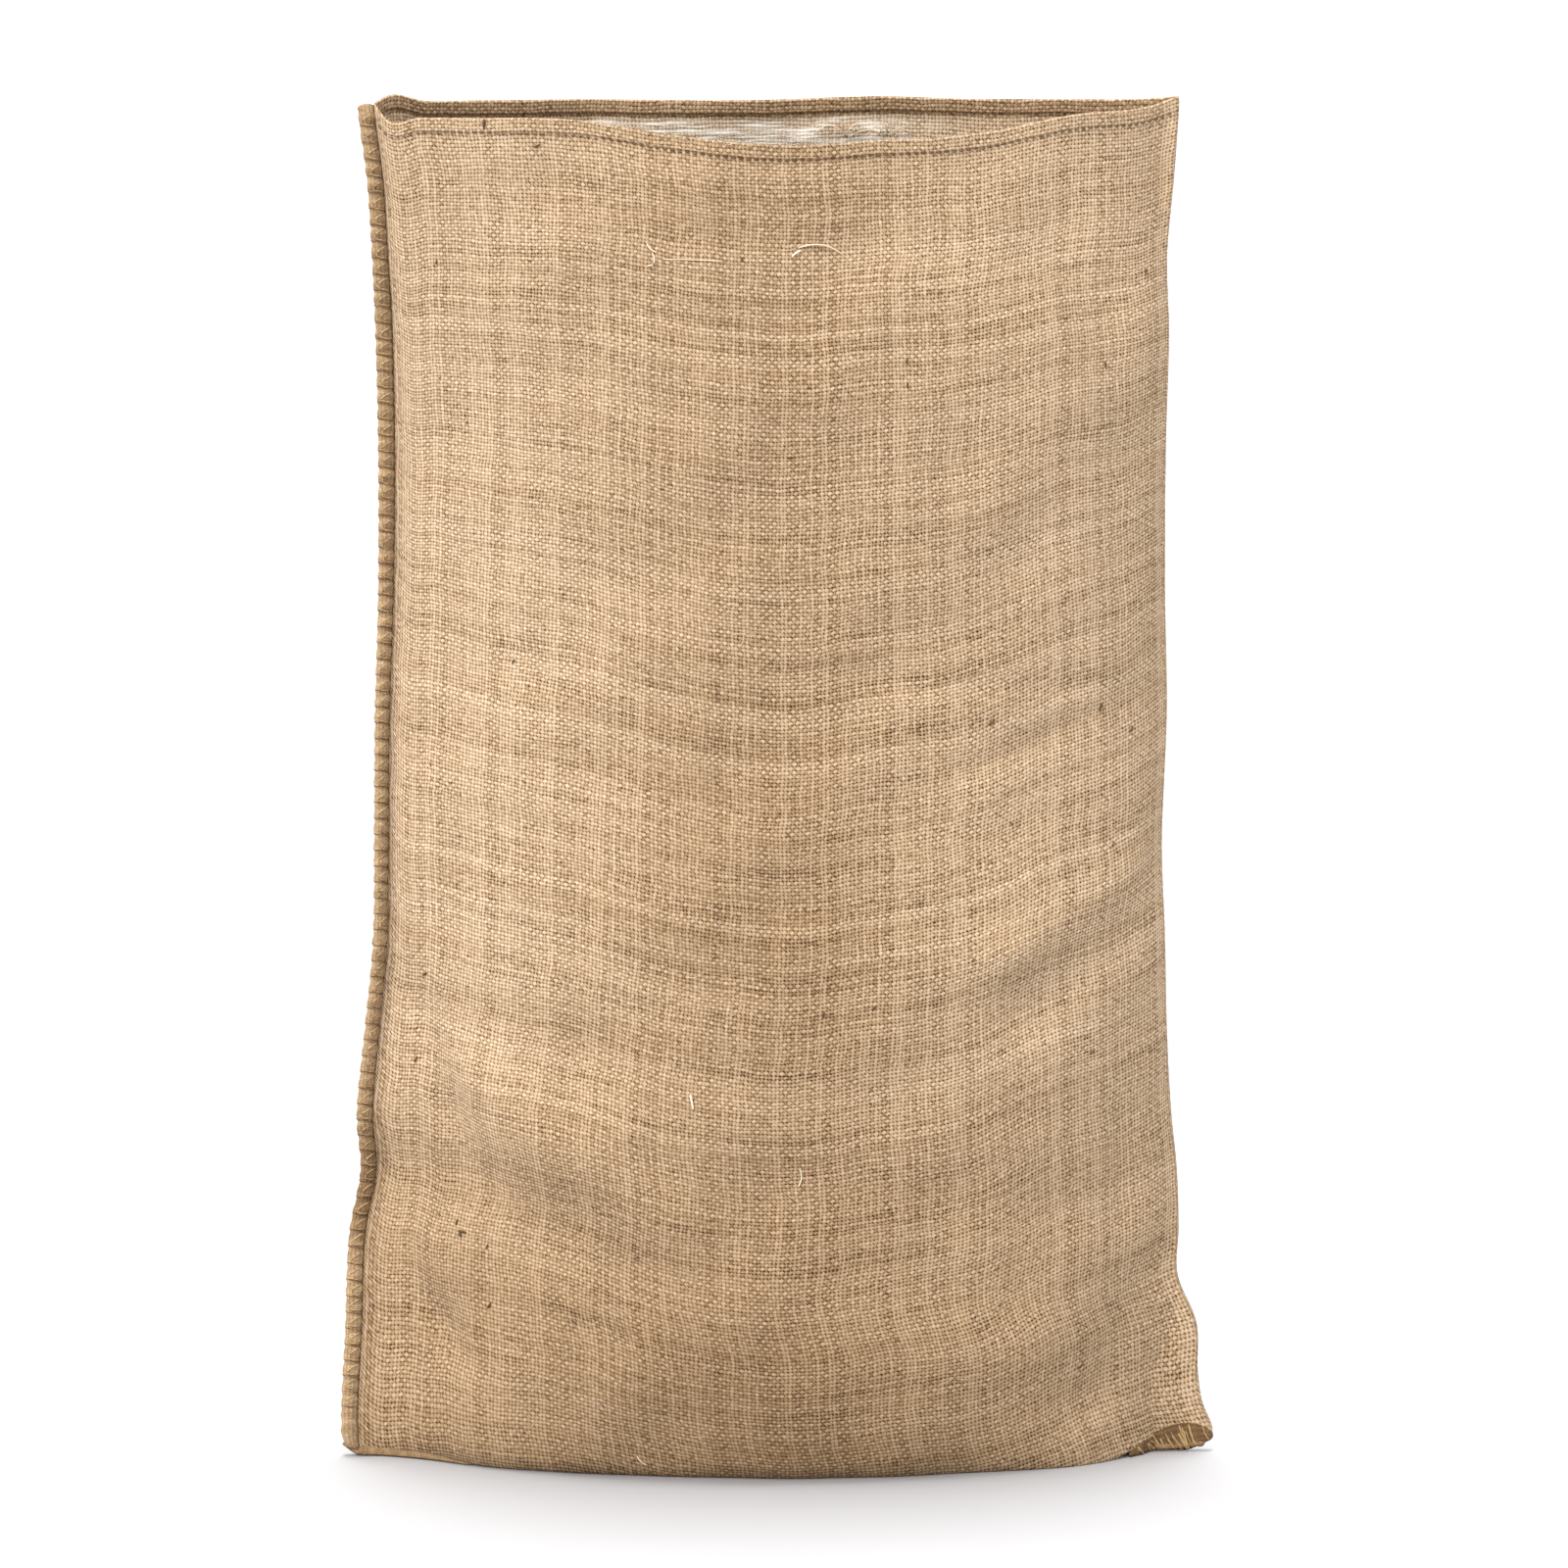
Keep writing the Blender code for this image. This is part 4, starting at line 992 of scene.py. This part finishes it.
# The last 13 mm above the floor round inwards, to meet the bottom seam at the corner.
corner = np.sqrt(1.0 - (1.0 - np.clip(welt_height[:, None] / CORNER_ROUND, 0.0, 1.0)) ** 2)
reach = (SEAM_MIDDLE + (SEAM_HALF_WIDTH * blunt + swell) * np.cos(angle)) * (0.25 + 0.75 * corner)
rise = (SEAM_HALF_DEPTH * blunt + swell) * np.sin(angle)
welt_rings = base + out * reach[..., None] + over_way * rise[..., None]
welt = lay_piece("side_seam_welt", closed_band(welt_rings), side_whipping)
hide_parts("side_oversewing")

# %% [markdown]
# ## The overlock stitches
# One soft yarn makes a bight on each face at every stitch, a slack C that starts and ends at the
# inner edge. A thin brown thread holds it: it runs down the welt's inner edge as a chain, and at
# each stitch goes round the welt. As a curve that is a coil whose pace changes: fast along the
# inner edge, and almost standing still round the outer one.

# %% Bights, coil and chain
def on_welt(height, share_out, front, lift):
    """Points on the welt's oval at heights and shares of the way out across its face:
    rise = depth * sqrt(1 - (2 share - 1)^2), to the front or the back.
    """
    base, out, over_way = seam_frame(height)
    flat_share = np.clip(2.0 * share_out - 1.0, -0.999, 0.999)
    rise = (SEAM_HALF_DEPTH + lift) * np.sqrt(1.0 - flat_share**2) * (-1.0 if front else 1.0)
    reach = SEAM_MIDDLE + (SEAM_HALF_WIDTH + lift) * flat_share
    return base + out * reach[:, None] + over_way * rise[:, None]


THREAD, BIGHT_YARN = 0.00024, 0.00052  # radii
BIGHTS, BIGHT_STEPS = 81, 11
FIRST_BIGHT, FIRST_COIL, CHAIN_LENGTH = 0.9620, 0.9655, 0.955
rng = np.random.default_rng(7)
swing = np.linspace(-1.0, 1.0, BIGHT_STEPS)[None]
start = FIRST_BIGHT - STITCH_PITCH * np.arange(BIGHTS)[:, None]
start = start + rng.normal(0.0, 0.0006, (BIGHTS, 1))
bights = []
for front in (True, False):
    wide = 0.0044 + rng.normal(0.0, 0.0005, (BIGHTS, 1))
    bight_height = start - 0.0040 - wide * swing - 0.0016 * np.cos(swing * np.pi / 2.0)
    most_out = 0.80 + rng.normal(0.0, 0.05, (BIGHTS, 1))
    bight_out = 0.06 + most_out * np.cos(swing * np.pi / 2.0) ** 0.6
    bight_paths = on_welt(bight_height.ravel(), bight_out.ravel(), front, 0.0006)
    bights.append(bight_paths.reshape(BIGHTS, BIGHT_STEPS, 3))
bight_tube = tubes(np.concatenate(bights), tapered(2 * BIGHTS, BIGHT_STEPS, BIGHT_YARN, 0.6))

COIL_TURNS, TURN_STEPS = 82, 30
turn = np.linspace(0.0, COIL_TURNS, COIL_TURNS * TURN_STEPS + 1)
theta = 2.0 * np.pi * turn
coil_height = FIRST_COIL - STITCH_PITCH * (turn - 0.14 * np.sin(theta))
base, out, over_way = seam_frame(coil_height)
coil_reach = SEAM_MIDDLE + (SEAM_HALF_WIDTH + 0.0005) * np.cos(theta)
coil_rise = -(SEAM_HALF_DEPTH + 0.0008) * np.sin(theta)
coil = base + out * coil_reach[:, None] + over_way * coil_rise[:, None]
chain_height = FIRST_COIL - CHAIN_LENGTH * np.linspace(0.0, 1.0, 1400)
base, out, over_way = seam_frame(chain_height)
chain_wave = 0.00055 * np.sin(4.0 * np.pi * (FIRST_COIL - chain_height) / STITCH_PITCH)
chains = [
    base + out * (0.0002 + chain_wave)[:, None] + over_way * (sign * 0.0021)
    for sign in (-1.0, 1.0)
]
coil_tube = tubes(coil[None], tapered(1, len(coil), THREAD))
chain_tube = tubes(np.stack(chains), tapered(2, len(chain_height), THREAD * 1.1))
overlock = lay_piece("side_seam_overlock", joined([coil_tube, chain_tube]), brown_thread)
bight_piece = lay_piece("side_seam_bights", bight_tube, jute_yarn)

# %% [markdown]
# ## The bottom seam
# The foot is closed in the same way, and then the sack is turned, so this seam lies flat under it,
# between the cloth and the floor. Only its left end and the right ear show it. At the ear the
# cloth lifts off the floor and the seam hangs from it like a lip, with its yarns fanned out.
# So the band's section turns from flat to hanging along its length.

# %% The line of the bottom seam
BOTTOM_WIDTH, BOTTOM_HEIGHT, BOTTOM_INSET = 0.0095, 0.0030, 0.0040
MOST_HANG = math.sin(math.radians(58.0))
roof_line = outer[-1, : COLUMNS + 1]
bottom_start, bottom_end = roof_line[0, 0] - BOTTOM_INSET, roof_line[-1, 0] - BOTTOM_INSET


def on_bottom_seam(x, share_out, rise):
    """Points of the bottom seam at x, where share_out runs from its root to its free edge, and
    rise is how far above the band's middle plane. slope is the sine of how far it hangs.
    """
    top = np.interp(x, roof_line[:, 0], roof_line[:, 2]) + 0.0003
    middle_y = np.interp(x, roof_line[:, 0], roof_line[:, 1])
    half = BOTTOM_HEIGHT / 2.0
    hang = smooth(0.248, 0.278, x - SHIFT[0])
    slope = np.clip((top - 2.0 * half) / BOTTOM_WIDTH, 0.0, MOST_HANG)
    out = BOTTOM_WIDTH * (share_out - 0.5 * (1.0 - hang))
    flat = np.sqrt(1.0 - slope**2)
    y = middle_y - out * flat - rise * slope
    z = top - half - BOTTOM_WIDTH * share_out * slope + rise * flat
    return np.stack(np.broadcast_arrays(x, y, z), axis=-1)


print("bottom seam", round(float(bottom_end - bottom_start), 3), "m long")

# %% The band
BAND_STEPS, BAND_POINTS = 700, 18
band_x = np.linspace(bottom_start, bottom_end, BAND_STEPS)[:, None]
band_angle = circle(BAND_POINTS)[None]
band_turns = (band_x - bottom_start) / STITCH_PITCH
band_ridge = 0.5 + 0.5 * np.cos(2.0 * np.pi * (band_turns * 2.0 - 0.25 * np.sin(band_angle)))
blunt = ends_rounded(band_turns) * ends_rounded((bottom_end - band_x) / STITCH_PITCH)
band_out = 0.42 - (0.58 * blunt + 0.03 * (band_ridge - 0.5)) * np.cos(band_angle)
band_rise = (BOTTOM_HEIGHT / 2.0 - 0.0002) * (blunt * 0.86 + 0.14 * band_ridge) * np.sin(band_angle)
BOTTOM_TONES = ((0.0, 0.86), (0.40, 0.80), (0.56, 0.52), (1.0, 0.52))
bottom_whipping = whipping_material("bottom_seam_whipping", BOTTOM_TONES)
band_shape = closed_band(on_bottom_seam(band_x, band_out, band_rise))
band = lay_piece("bottom_seam_welt", band_shape, bottom_whipping)
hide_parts("bottom_oversewing")

# %% Its yarn, one slanting turn to each half stitch
WHIP_END, WHIP_PITCH, WHIP_STEPS = 0.250, 0.0058, 9
LOWEST_YARN = 0.0009  # no yarn's middle comes closer to the floor


def oval(share, least):
    """The height of an oval at a share of its width: sqrt(1 - (2 share - 1)^2)."""
    return np.sqrt(np.clip(1.0 - (2.0 * np.clip(share, 0.0, 1.0) - 1.0) ** 2, least, 1.0))


whip_x = np.arange(bottom_start + 0.003, WHIP_END, WHIP_PITCH)
whip_count = len(whip_x)
whip_swing = np.linspace(0.0, 1.0, WHIP_STEPS)[None]
lean_x = 0.0020 + 0.0022 * rng.random((whip_count, 1))
whip_path_x = whip_x[:, None] + lean_x * whip_swing
whip_out = -0.04 + 1.05 * whip_swing
whip_lift = BOTTOM_HEIGHT / 2.0 * oval(whip_out, 0.1) - 0.0002
whips = np.concatenate([
    on_bottom_seam(np.minimum(whip_path_x, bottom_end + 0.002), whip_out, face * whip_lift)
    for face in (1.0, -1.0)
])
whips[..., 2] = np.maximum(whips[..., 2], LOWEST_YARN)
whip_tube = tubes(whips, tapered(2 * whip_count, WHIP_STEPS, 0.00060, 0.5))
whip_piece = lay_piece("bottom_seam_overlock", whip_tube, jute_yarn)

# %% [markdown]
# ## Where the bottom seam shows
# At both lower corners the seam's allowance rolls out from under the cloth. On the left it is a
# low brown edge that carries the side seam's welt round the corner. On the right the ear lifts,
# and the allowance hangs out as a lip 20 mm tall, with its yarns fanned over it. Each roll
# follows the cloth's own lower edge, and its section is a flat oval from the floor to above it.

# %% Rolls along the lower edge
edge_line = outer[len(rows) - 1, : COLUMNS + 1]
ROLL_STEPS, ROLL_POINTS = 220, 18


def on_roll(x, share_up, out, extra_top, tip_lift):
    """Points of a roll at x: share_up runs from its lower edge to its upper one, and out is how
    far it stands in front of the cloth. The lower part leans forward by up to 3 mm.
    """
    edge_y = np.interp(x, edge_line[:, 0], edge_line[:, 1])
    edge_z = np.interp(x, edge_line[:, 0], edge_line[:, 2])
    low = 0.0005 + tip_lift
    z = low + (edge_z + extra_top - low) * share_up
    y = edge_y + 0.0010 - out - 0.0026 * (1.0 - share_up) ** 1.5
    return np.stack(np.broadcast_arrays(x, y, z), axis=-1)


def roll_shape(x_from, x_to, extra_top, tip_lift, half_depth):
    """A roll as a closed band: share_up = 0.5 + 0.5 cos a, out = depth sin a, with blunt ends."""
    t = np.linspace(0.0, 1.0, ROLL_STEPS)[:, None]
    x = x_from + (x_to - x_from) * t
    a = circle(ROLL_POINTS)[None]
    end = np.sqrt(1.0 - (1.0 - np.clip(20.0 * np.minimum(t, 1.0 - t), 0.0, 1.0)) ** 2)
    ripple = 0.00022 * np.cos(2.0 * np.pi * x / 0.0024 + 1.5 * np.cos(a))
    share_up = 0.5 + 0.5 * (0.12 + 0.88 * end) * np.cos(a)
    out = (half_depth * (0.15 + 0.85 * end) + ripple) * np.sin(a)
    return closed_band(on_roll(x, share_up, out, extra_top(t), tip_lift(t)))


def corner_top(t):
    """Under the welt the roll covers 5 mm of the cloth, and further along it 1 mm."""
    return 0.0010 + 0.0040 * smooth(0.30, 0.05, t)


def corner_lift(t):
    """The seam's corner is round, so the roll leaves the floor by 6 mm under the welt."""
    return 0.0060 * smooth(0.15, 0.0, t) ** 1.6


CORNER_REACH, CORNER_END, CORNER_DEPTH = 0.0125, -0.2150, 0.0024
corner_start = edge_line[0, 0] - CORNER_REACH
left_roll = roll_shape(corner_start, CORNER_END, corner_top, corner_lift, CORNER_DEPTH)


def ear_top(t):
    """How far the lip covers the cloth: a bump, highest at two thirds of the way to the tip."""
    return 0.0098 * np.sin(np.pi * t**1.5) ** 0.8


def ear_tip(t):
    """The lip's lower edge leaves the floor towards the tip."""
    return 0.0070 * smooth(0.66, 1.0, t)


EAR_FROM, EAR_TO, LIP_DEPTH = 0.2480, 0.3085, 0.0019
right_roll = roll_shape(EAR_FROM, EAR_TO, ear_top, ear_tip, LIP_DEPTH)
# Both rolls are the same whipping, darkened as painted shade where they lie low under the cloth.
# The ear's lies in the cloth's own shade, so it is the darker.
left_whipping = whipping_material("left_corner_whipping", ((0.0, 0.58), (1.0, 0.58)))
ear_whipping = whipping_material("ear_lip_whipping", ((0.0, 0.27), (1.0, 0.27)))
left_edge = lay_piece("left_corner_roll", left_roll, left_whipping)
ear_lip = lay_piece("right_ear_lip", right_roll, ear_whipping)

# %% Yarns fanned over the lip
FAN, FAN_STEPS = 22, 9
t = np.linspace(0.0, 1.0, FAN_STEPS)[None]
fan_start = np.sort(rng.uniform(0.06, 0.90, FAN))[:, None]
fan_t = fan_start + (0.03 + 0.13 * rng.random((FAN, 1))) * t**1.2
fan_t = np.clip(fan_t, 0.02, 0.985)
fan_up = np.clip(rng.uniform(0.45, 0.95, (FAN, 1)) * (1.0 - t) + 0.02, 0.0, 1.0)
fan_out = LIP_DEPTH * oval(fan_up, 0.05) + 0.0004
fan_x = EAR_FROM + (EAR_TO - EAR_FROM) * fan_t
fan_paths = on_roll(fan_x, fan_up, fan_out, ear_top(fan_t), ear_tip(fan_t))
fan_radius = tapered(FAN, FAN_STEPS, 1.0, 0.5) * rng.uniform(0.00045, 0.00085, (FAN, 1))
fan_paths[..., 2] = np.maximum(fan_paths[..., 2], LOWEST_YARN)
# The same undyed yarn in the lip's shade: duller, and slacker in its twist.
ear_yarn = yarn_material("ear_yarn_in_shade", "#A5885E", "#4B361B", 0.0060, 0.45)
fan_piece = lay_piece("right_ear_fanned_yarn", tubes(fan_paths, fan_radius), ear_yarn)

# %% [markdown]
# ## The hem's stitches
# The hem is held by one row of straight stitches, about 5.5 mm long, in thick brown thread. Each
# stitch dives into the cloth at both ends and bows a little proud between them. They are placed
# by length along the hem, read from the cloth's own UV, so they meet the dark dashes drawn there:
# thread colour, with painted shade for the hollow that each stitch pulls in.

# %% Stitches on both faces of both panels
STITCH_HALF = 0.0019
STITCH_HEIGHT = 0.9585
stitch_row = int(np.argmin(np.abs(heights - STITCH_HEIGHT)))
stitch_swing = np.linspace(-1.0, 1.0, 5)[None]
stitch_paths = []
for front in (True, False):
    middles = (np.arange(int(FLAT_WIDTH / STITCH_STEP) + 1) + 0.5) * STITCH_STEP
    if not front:
        middles = middles + STITCH_STEP * math.ceil(FLAT_WIDTH / STITCH_STEP)
    side_u = (front_u if front else back_u)[stitch_row]
    middles = middles[(middles > side_u[0] + 0.004) & (middles < side_u[-1] - 0.004)][:, None]
    along_u = middles + (STITCH_HALF + rng.normal(0.0, 0.00012, middles.shape)) * stitch_swing
    side_share = np.interp(along_u, side_u, across if front else across[::-1])
    drop = rng.normal(0.0, 0.00018, middles.shape) + 0.0 * along_u
    for face, sunk in ((1.0, 0.0), (-1.0, THICK + 2.0 * HEM_SWELL)):
        lift = face * (0.0007 - 0.0011 * stitch_swing**2) - sunk + 0.0 * along_u
        path = on_cloth(side_share.ravel(), (STITCH_HEIGHT + drop).ravel(), front, lift.ravel())
        stitch_paths.append(path.reshape(along_u.shape + (3,)))
hem_paths = np.concatenate(stitch_paths)
from_middle = (hem_paths[:, 2, 0] - 0.015) / 0.075
uneven_radius = rng.normal(0.0, 0.00005, len(hem_paths))
stitch_radius = 0.00036 + 0.00026 * np.exp(-from_middle**2) + uneven_radius
stitch_radius = np.clip(stitch_radius, 0.0002, 0.0008)[:, None]
hem_tube = tubes(hem_paths, tapered(len(hem_paths), 5, 1.0, 0.55) * stitch_radius)
hem_stitches = lay_piece("hem_stitches", hem_tube, brown_thread)

# %% [markdown]
# ## Loose ends and stray hairs
# Jute is a bristly fibre. Hairs stand off the cloth everywhere, thickest on the folded hem, and a
# few longer ends of yarn have worked loose on the front. Blender's hair system could grow them,
# but it isn't a mesh. So each is a thin tube on a path that wanders over the cloth: the direction
# turns steadily along it, and its lift is a half sine, so that both ends stay in the weave.

# %% Paths that wander over the cloth
PANEL_WIDTH = 0.56


def wander(share, height, heading, bend, length, lift, front, steps):
    """Paths that start at shares and heights, and turn by bend on the way: each step adds
    length / steps * (cos, sin) of the heading so far. The lift is lift * sin(pi t).
    """
    t = np.linspace(0.0, 1.0, steps)[None]
    direction = heading[:, None] + bend[:, None] * t
    step = length[:, None] / (steps - 1)
    x = np.cumsum(np.cos(direction) * step, axis=1) - np.cos(direction[:, :1]) * step
    z = np.cumsum(np.sin(direction) * step, axis=1) - np.sin(direction[:, :1]) * step
    raised = 0.0003 + lift[:, None] * np.sin(np.pi * t)
    places = (share[:, None] + x / PANEL_WIDTH, height[:, None] + z)
    points = on_cloth(places[0].ravel(), places[1].ravel(), front, raised.ravel())
    return points.reshape(len(share), steps, 3)


# %% Hairs on both panels and along the hem
HAIR_STEPS, PANEL_HAIRS = 7, 420
hairs = []
for front in (True, False):
    hair_numbers = [  # share, height, heading, bend, length, lift
        rng.uniform(0.01, 0.99, PANEL_HAIRS), rng.uniform(0.01, 0.955, PANEL_HAIRS),
        rng.uniform(0.0, 2.0 * np.pi, PANEL_HAIRS), rng.normal(0.0, 1.6, PANEL_HAIRS),
        rng.uniform(0.004, 0.016, PANEL_HAIRS), rng.uniform(0.0002, 0.0012, PANEL_HAIRS),
    ]
    hairs.append(wander(*hair_numbers, front, HAIR_STEPS))
body_hairs = np.concatenate(hairs)
rim_hairs = []
for front, count in ((True, 420), (False, 260)):
    share = rng.uniform(0.01, 0.99, count)
    root = on_cloth(share, np.full(count, 0.9670), front, rng.uniform(-0.0018, 0.0004, count))
    t = np.linspace(0.0, 1.0, HAIR_STEPS)[None, :, None]
    tip = rng.normal(0.0, 1.0, (count, 1, 3)) * [0.0030, 0.0014, 0.0007]
    tip[..., 2] += 0.0016
    curl = rng.normal(0.0, 0.0012, (count, 1, 3)) * np.sin(np.pi * t)
    rim_hairs.append(root[:, None] + tip * t + curl * [1.0, 1.0, 0.3])
rim_paths = np.concatenate(rim_hairs)
hair_shapes = [
    tubes(body_hairs, tapered(len(body_hairs), HAIR_STEPS, 0.00013), 4),
    tubes(rim_paths, tapered(len(rim_paths), HAIR_STEPS, 0.00014), 4),
]
hair_piece = lay_piece("flyaway_hairs", joined(hair_shapes), loose_fibre)
print(len(body_hairs), "hairs on the panels and", len(rim_paths), "on the hem")

# %% Loose ends of yarn on the front
LOOSE_ENDS = np.array([  # share, height, heading, bend, length, lift, radius
    [0.335, 0.892, -1.20, 1.10, 0.009, 0.0010, 0.00048],
    [0.341, 0.886, -0.50, -2.60, 0.013, 0.0014, 0.00055],
    [0.354, 0.883, 0.15, -0.10, 0.045, 0.0002, 0.00030],
    [0.517, 0.893, 1.10, -0.90, 0.008, 0.0012, 0.00075],
    [0.524, 0.899, 0.45, -1.20, 0.034, 0.0016, 0.00055],
    [0.400, 0.279, -1.30, -0.10, 0.011, 0.0008, 0.00080],
    [0.533, 0.225, -1.30, -0.90, 0.014, 0.0006, 0.00042],
    [0.331, 0.016, -1.20, 0.60, 0.009, 0.0008, 0.00035],
])
END_STEPS = 12
ends = wander(*LOOSE_ENDS[:, :6].T, True, END_STEPS)
end_radius = tapered(1, END_STEPS, 1.0, 0.4) * LOOSE_ENDS[:, 6:]
# Bleached fibres have pulled out of the back's inner face, in low arcs behind the mouth.
TUFT = 14
t = np.linspace(0.0, 1.0, END_STEPS)[None]
tuft_share = rng.uniform(0.575, 0.640, (TUFT, 1)) + rng.uniform(-0.045, 0.045, (TUFT, 1)) * t
tuft_height = 0.941 + rng.uniform(0.003, 0.010, (TUFT, 1)) * np.sin(np.pi * t) + 0.002 * t
tuft_lift = -0.0030 - 0.003 * np.sin(np.pi * t) + 0.0 * tuft_share
tuft_paths = on_cloth(tuft_share.ravel(), tuft_height.ravel(), False, tuft_lift.ravel())
tuft_paths = tuft_paths.reshape(TUFT, END_STEPS, 3)
loose_shapes = [
    tubes(ends, end_radius),
    tubes(tuft_paths, tapered(TUFT, END_STEPS, 0.00036), 4),
]
loose_ends = lay_piece("loose_yarn_ends", joined(loose_shapes), loose_fibre)

# %% [markdown]
# ## Specks of bark
# The jute plant's bark is never wholly combed out, so dark specks a few millimetres long are
# spun into the yarns. Some larger ones stand a little proud of the cloth, as short tapered
# slivers that lie along the warp or the weft.

# %% Slivers on both panels
BARK = np.array([  # share, height, heading, size
    [0.139, 0.962, 1.5, 1.9], [0.199, 0.949, 0.2, 1.2], [0.183, 0.871, 0.3, 0.8],
    [0.065, 0.867, 1.5, 0.8], [0.454, 0.888, 1.5, 0.8], [0.161, 0.582, 1.5, 1.0],
    [0.059, 0.503, 1.5, 0.8], [0.053, 0.348, 1.4, 1.1], [0.052, 0.284, 1.5, 1.1],
    [0.116, 0.167, 0.4, 1.5], [0.121, 0.163, 2.0, 1.3], [0.112, 0.171, 1.2, 1.0],
    [0.092, 0.176, 2.5, 0.8], [0.153, 0.157, 1.0, 0.9], [0.156, 0.115, 0.8, 1.3],
    [0.258, 0.113, 0.1, 1.0], [0.562, 0.335, 1.4, 1.3], [0.625, 0.341, 1.5, 0.9],
    [0.510, 0.751, 0.3, 0.9], [0.347, 0.720, 0.2, 0.9], [0.661, 0.815, 1.5, 1.0],
    [0.661, 0.798, 1.3, 1.0], [0.534, 0.802, 0.1, 0.8], [0.915, 0.793, 1.1, 1.1],
    [0.859, 0.730, 0.3, 0.8], [0.971, 0.853, 1.2, 0.8], [0.909, 0.545, 0.9, 1.4],
    [0.949, 0.527, 0.6, 1.1], [0.767, 0.546, 0.5, 1.2], [0.801, 0.469, 1.2, 0.9],
    [0.932, 0.446, 1.4, 0.9], [0.899, 0.298, 0.4, 1.0], [0.776, 0.121, 1.2, 0.9],
    [0.854, 0.070, 0.6, 1.0], [0.335, 0.160, 0.2, 0.8],
])
GRAINS = 170
bark_paths, bark_sizes = [], []
for front in (True, False):
    grains = np.stack([
        rng.uniform(0.02, 0.98, GRAINS), rng.uniform(0.02, 0.95, GRAINS),
        rng.choice([0.0, np.pi / 2.0], GRAINS) + rng.normal(0.0, 0.25, GRAINS),
        rng.uniform(0.35, 0.75, GRAINS) ** 1.5,
    ], axis=1)
    if front:
        grains = np.concatenate([BARK, grains])
    share, high, heading, size = grains.T
    curl = rng.normal(0.0, 0.5, len(grains))
    lift = 0.0004 * size
    bark_paths.append(wander(share, high, heading, curl, 0.0042 * size, lift, front, 5))
    bark_sizes.append(size)
bark_lines = np.concatenate(bark_paths)
bark_radius = tapered(len(bark_lines), 5, 0.00055, 0.35) * np.concatenate(bark_sizes)[:, None]
bark_piece = lay_piece("bark_specks", tubes(bark_lines, bark_radius, 4), bark)

# %% [markdown]
# ## Floor, light and camera
# The sack stands on a pale studio floor in a white tent, under one large lamp straight overhead
# for the floor, which leaves only a soft shade at the sack's foot. A key light from the upper left
# and a weak one from the right model its folds. Each is linked to the floor alone or to the sack
# alone, as flags keep a lamp off one or the other in a studio. The lens is long, as for a
# catalogue picture, and looks down at the sack by ten degrees.

# %% Floor
# Matt paper: it has no shine, and a faint mottle keeps it from looking drawn.
paper, tree, paper_shader = new_material("white_studio_paper", 0.95)
grain = add(tree, "TexNoise", {"Scale": 4.0, "Detail": 2.0})
paper_colour = add(tree, "Mix RGBA", [grain, linear("#BEBEC0"), linear("#C2C2C4")])
connect(tree, paper_shader, {"Base Color": paper_colour})
floor_points = 30.0 * np.array([[-1, -1, 0], [1, -1, 0], [1, 1, 0], [-1, 1, 0]], float)
floor_uv = np.array([[0, 0], [1, 0], [1, 1], [0, 1]], float)
floor = lay_piece("studio_floor", (floor_points, np.array([[0, 1, 2, 3]]), floor_uv), paper)

# %% Light
sewing = [welt, overlock, bight_piece, band, whip_piece, left_edge, ear_lip, fan_piece]
sewing += [hem_stitches, hair_piece, loose_ends, bark_piece]
lit = bpy.data.collections.new("lit_by_softboxes")
for piece in [cloth, *sewing]:
    lit.objects.link(piece)
lit_floor = bpy.data.collections.new("lit_by_overhead_lamp")
lit_floor.objects.link(floor)
world = bpy.data.worlds.new("studio")
bpy.context.scene.world = world
world.use_nodes = True
tent = world.node_tree.nodes["Background"]
tent.inputs["Color"].default_value = (1.0, 1.0, 1.0, 1.0)
tent.inputs["Strength"].default_value = 1.20
for name, strength, spread, azimuth, elevation, receivers in (
    ("key_left", 4.8, 26.0, -46.0, 47.0, lit),
    ("fill_right", 1.1, 80.0, 78.0, 28.0, lit),
    ("floor_overhead", 3.4, 26.0, 195.0, 83.0, lit_floor),
):
    softbox = bpy.data.lights.new(name, "SUN")
    softbox.energy = strength
    softbox.angle = math.radians(spread)
    holder = bpy.data.objects.new(name, softbox)
    holder.rotation_euler = (math.radians(90.0 - elevation), 0.0, math.radians(azimuth))
    holder.light_linking.receiver_collection = receivers
    bpy.context.scene.collection.objects.link(holder)
    print(name, strength, "W per square metre from", azimuth, "degrees round and", elevation, "up")

# %% Camera
AIM = (0.00457, 0.00541, 0.478)
DISTANCE, ELEVATION = 6.0, math.radians(10.0)
lens = bpy.data.cameras.new("camera")
lens.lens = 197.08
lens.sensor_width = 36.0
lens.clip_end = 200.0
camera = bpy.data.objects.new("camera", lens)
camera.location = (
    AIM[0],
    AIM[1] - DISTANCE * math.cos(ELEVATION),
    AIM[2] + DISTANCE * math.sin(ELEVATION),
)
camera.rotation_euler = (math.pi / 2.0 - ELEVATION, 0.0, 0.0)
bpy.context.scene.collection.objects.link(camera)
bpy.context.scene.camera = camera
bpy.context.scene.view_settings.view_transform = "Standard"
print("camera at", [round(value, 3) for value in camera.location])
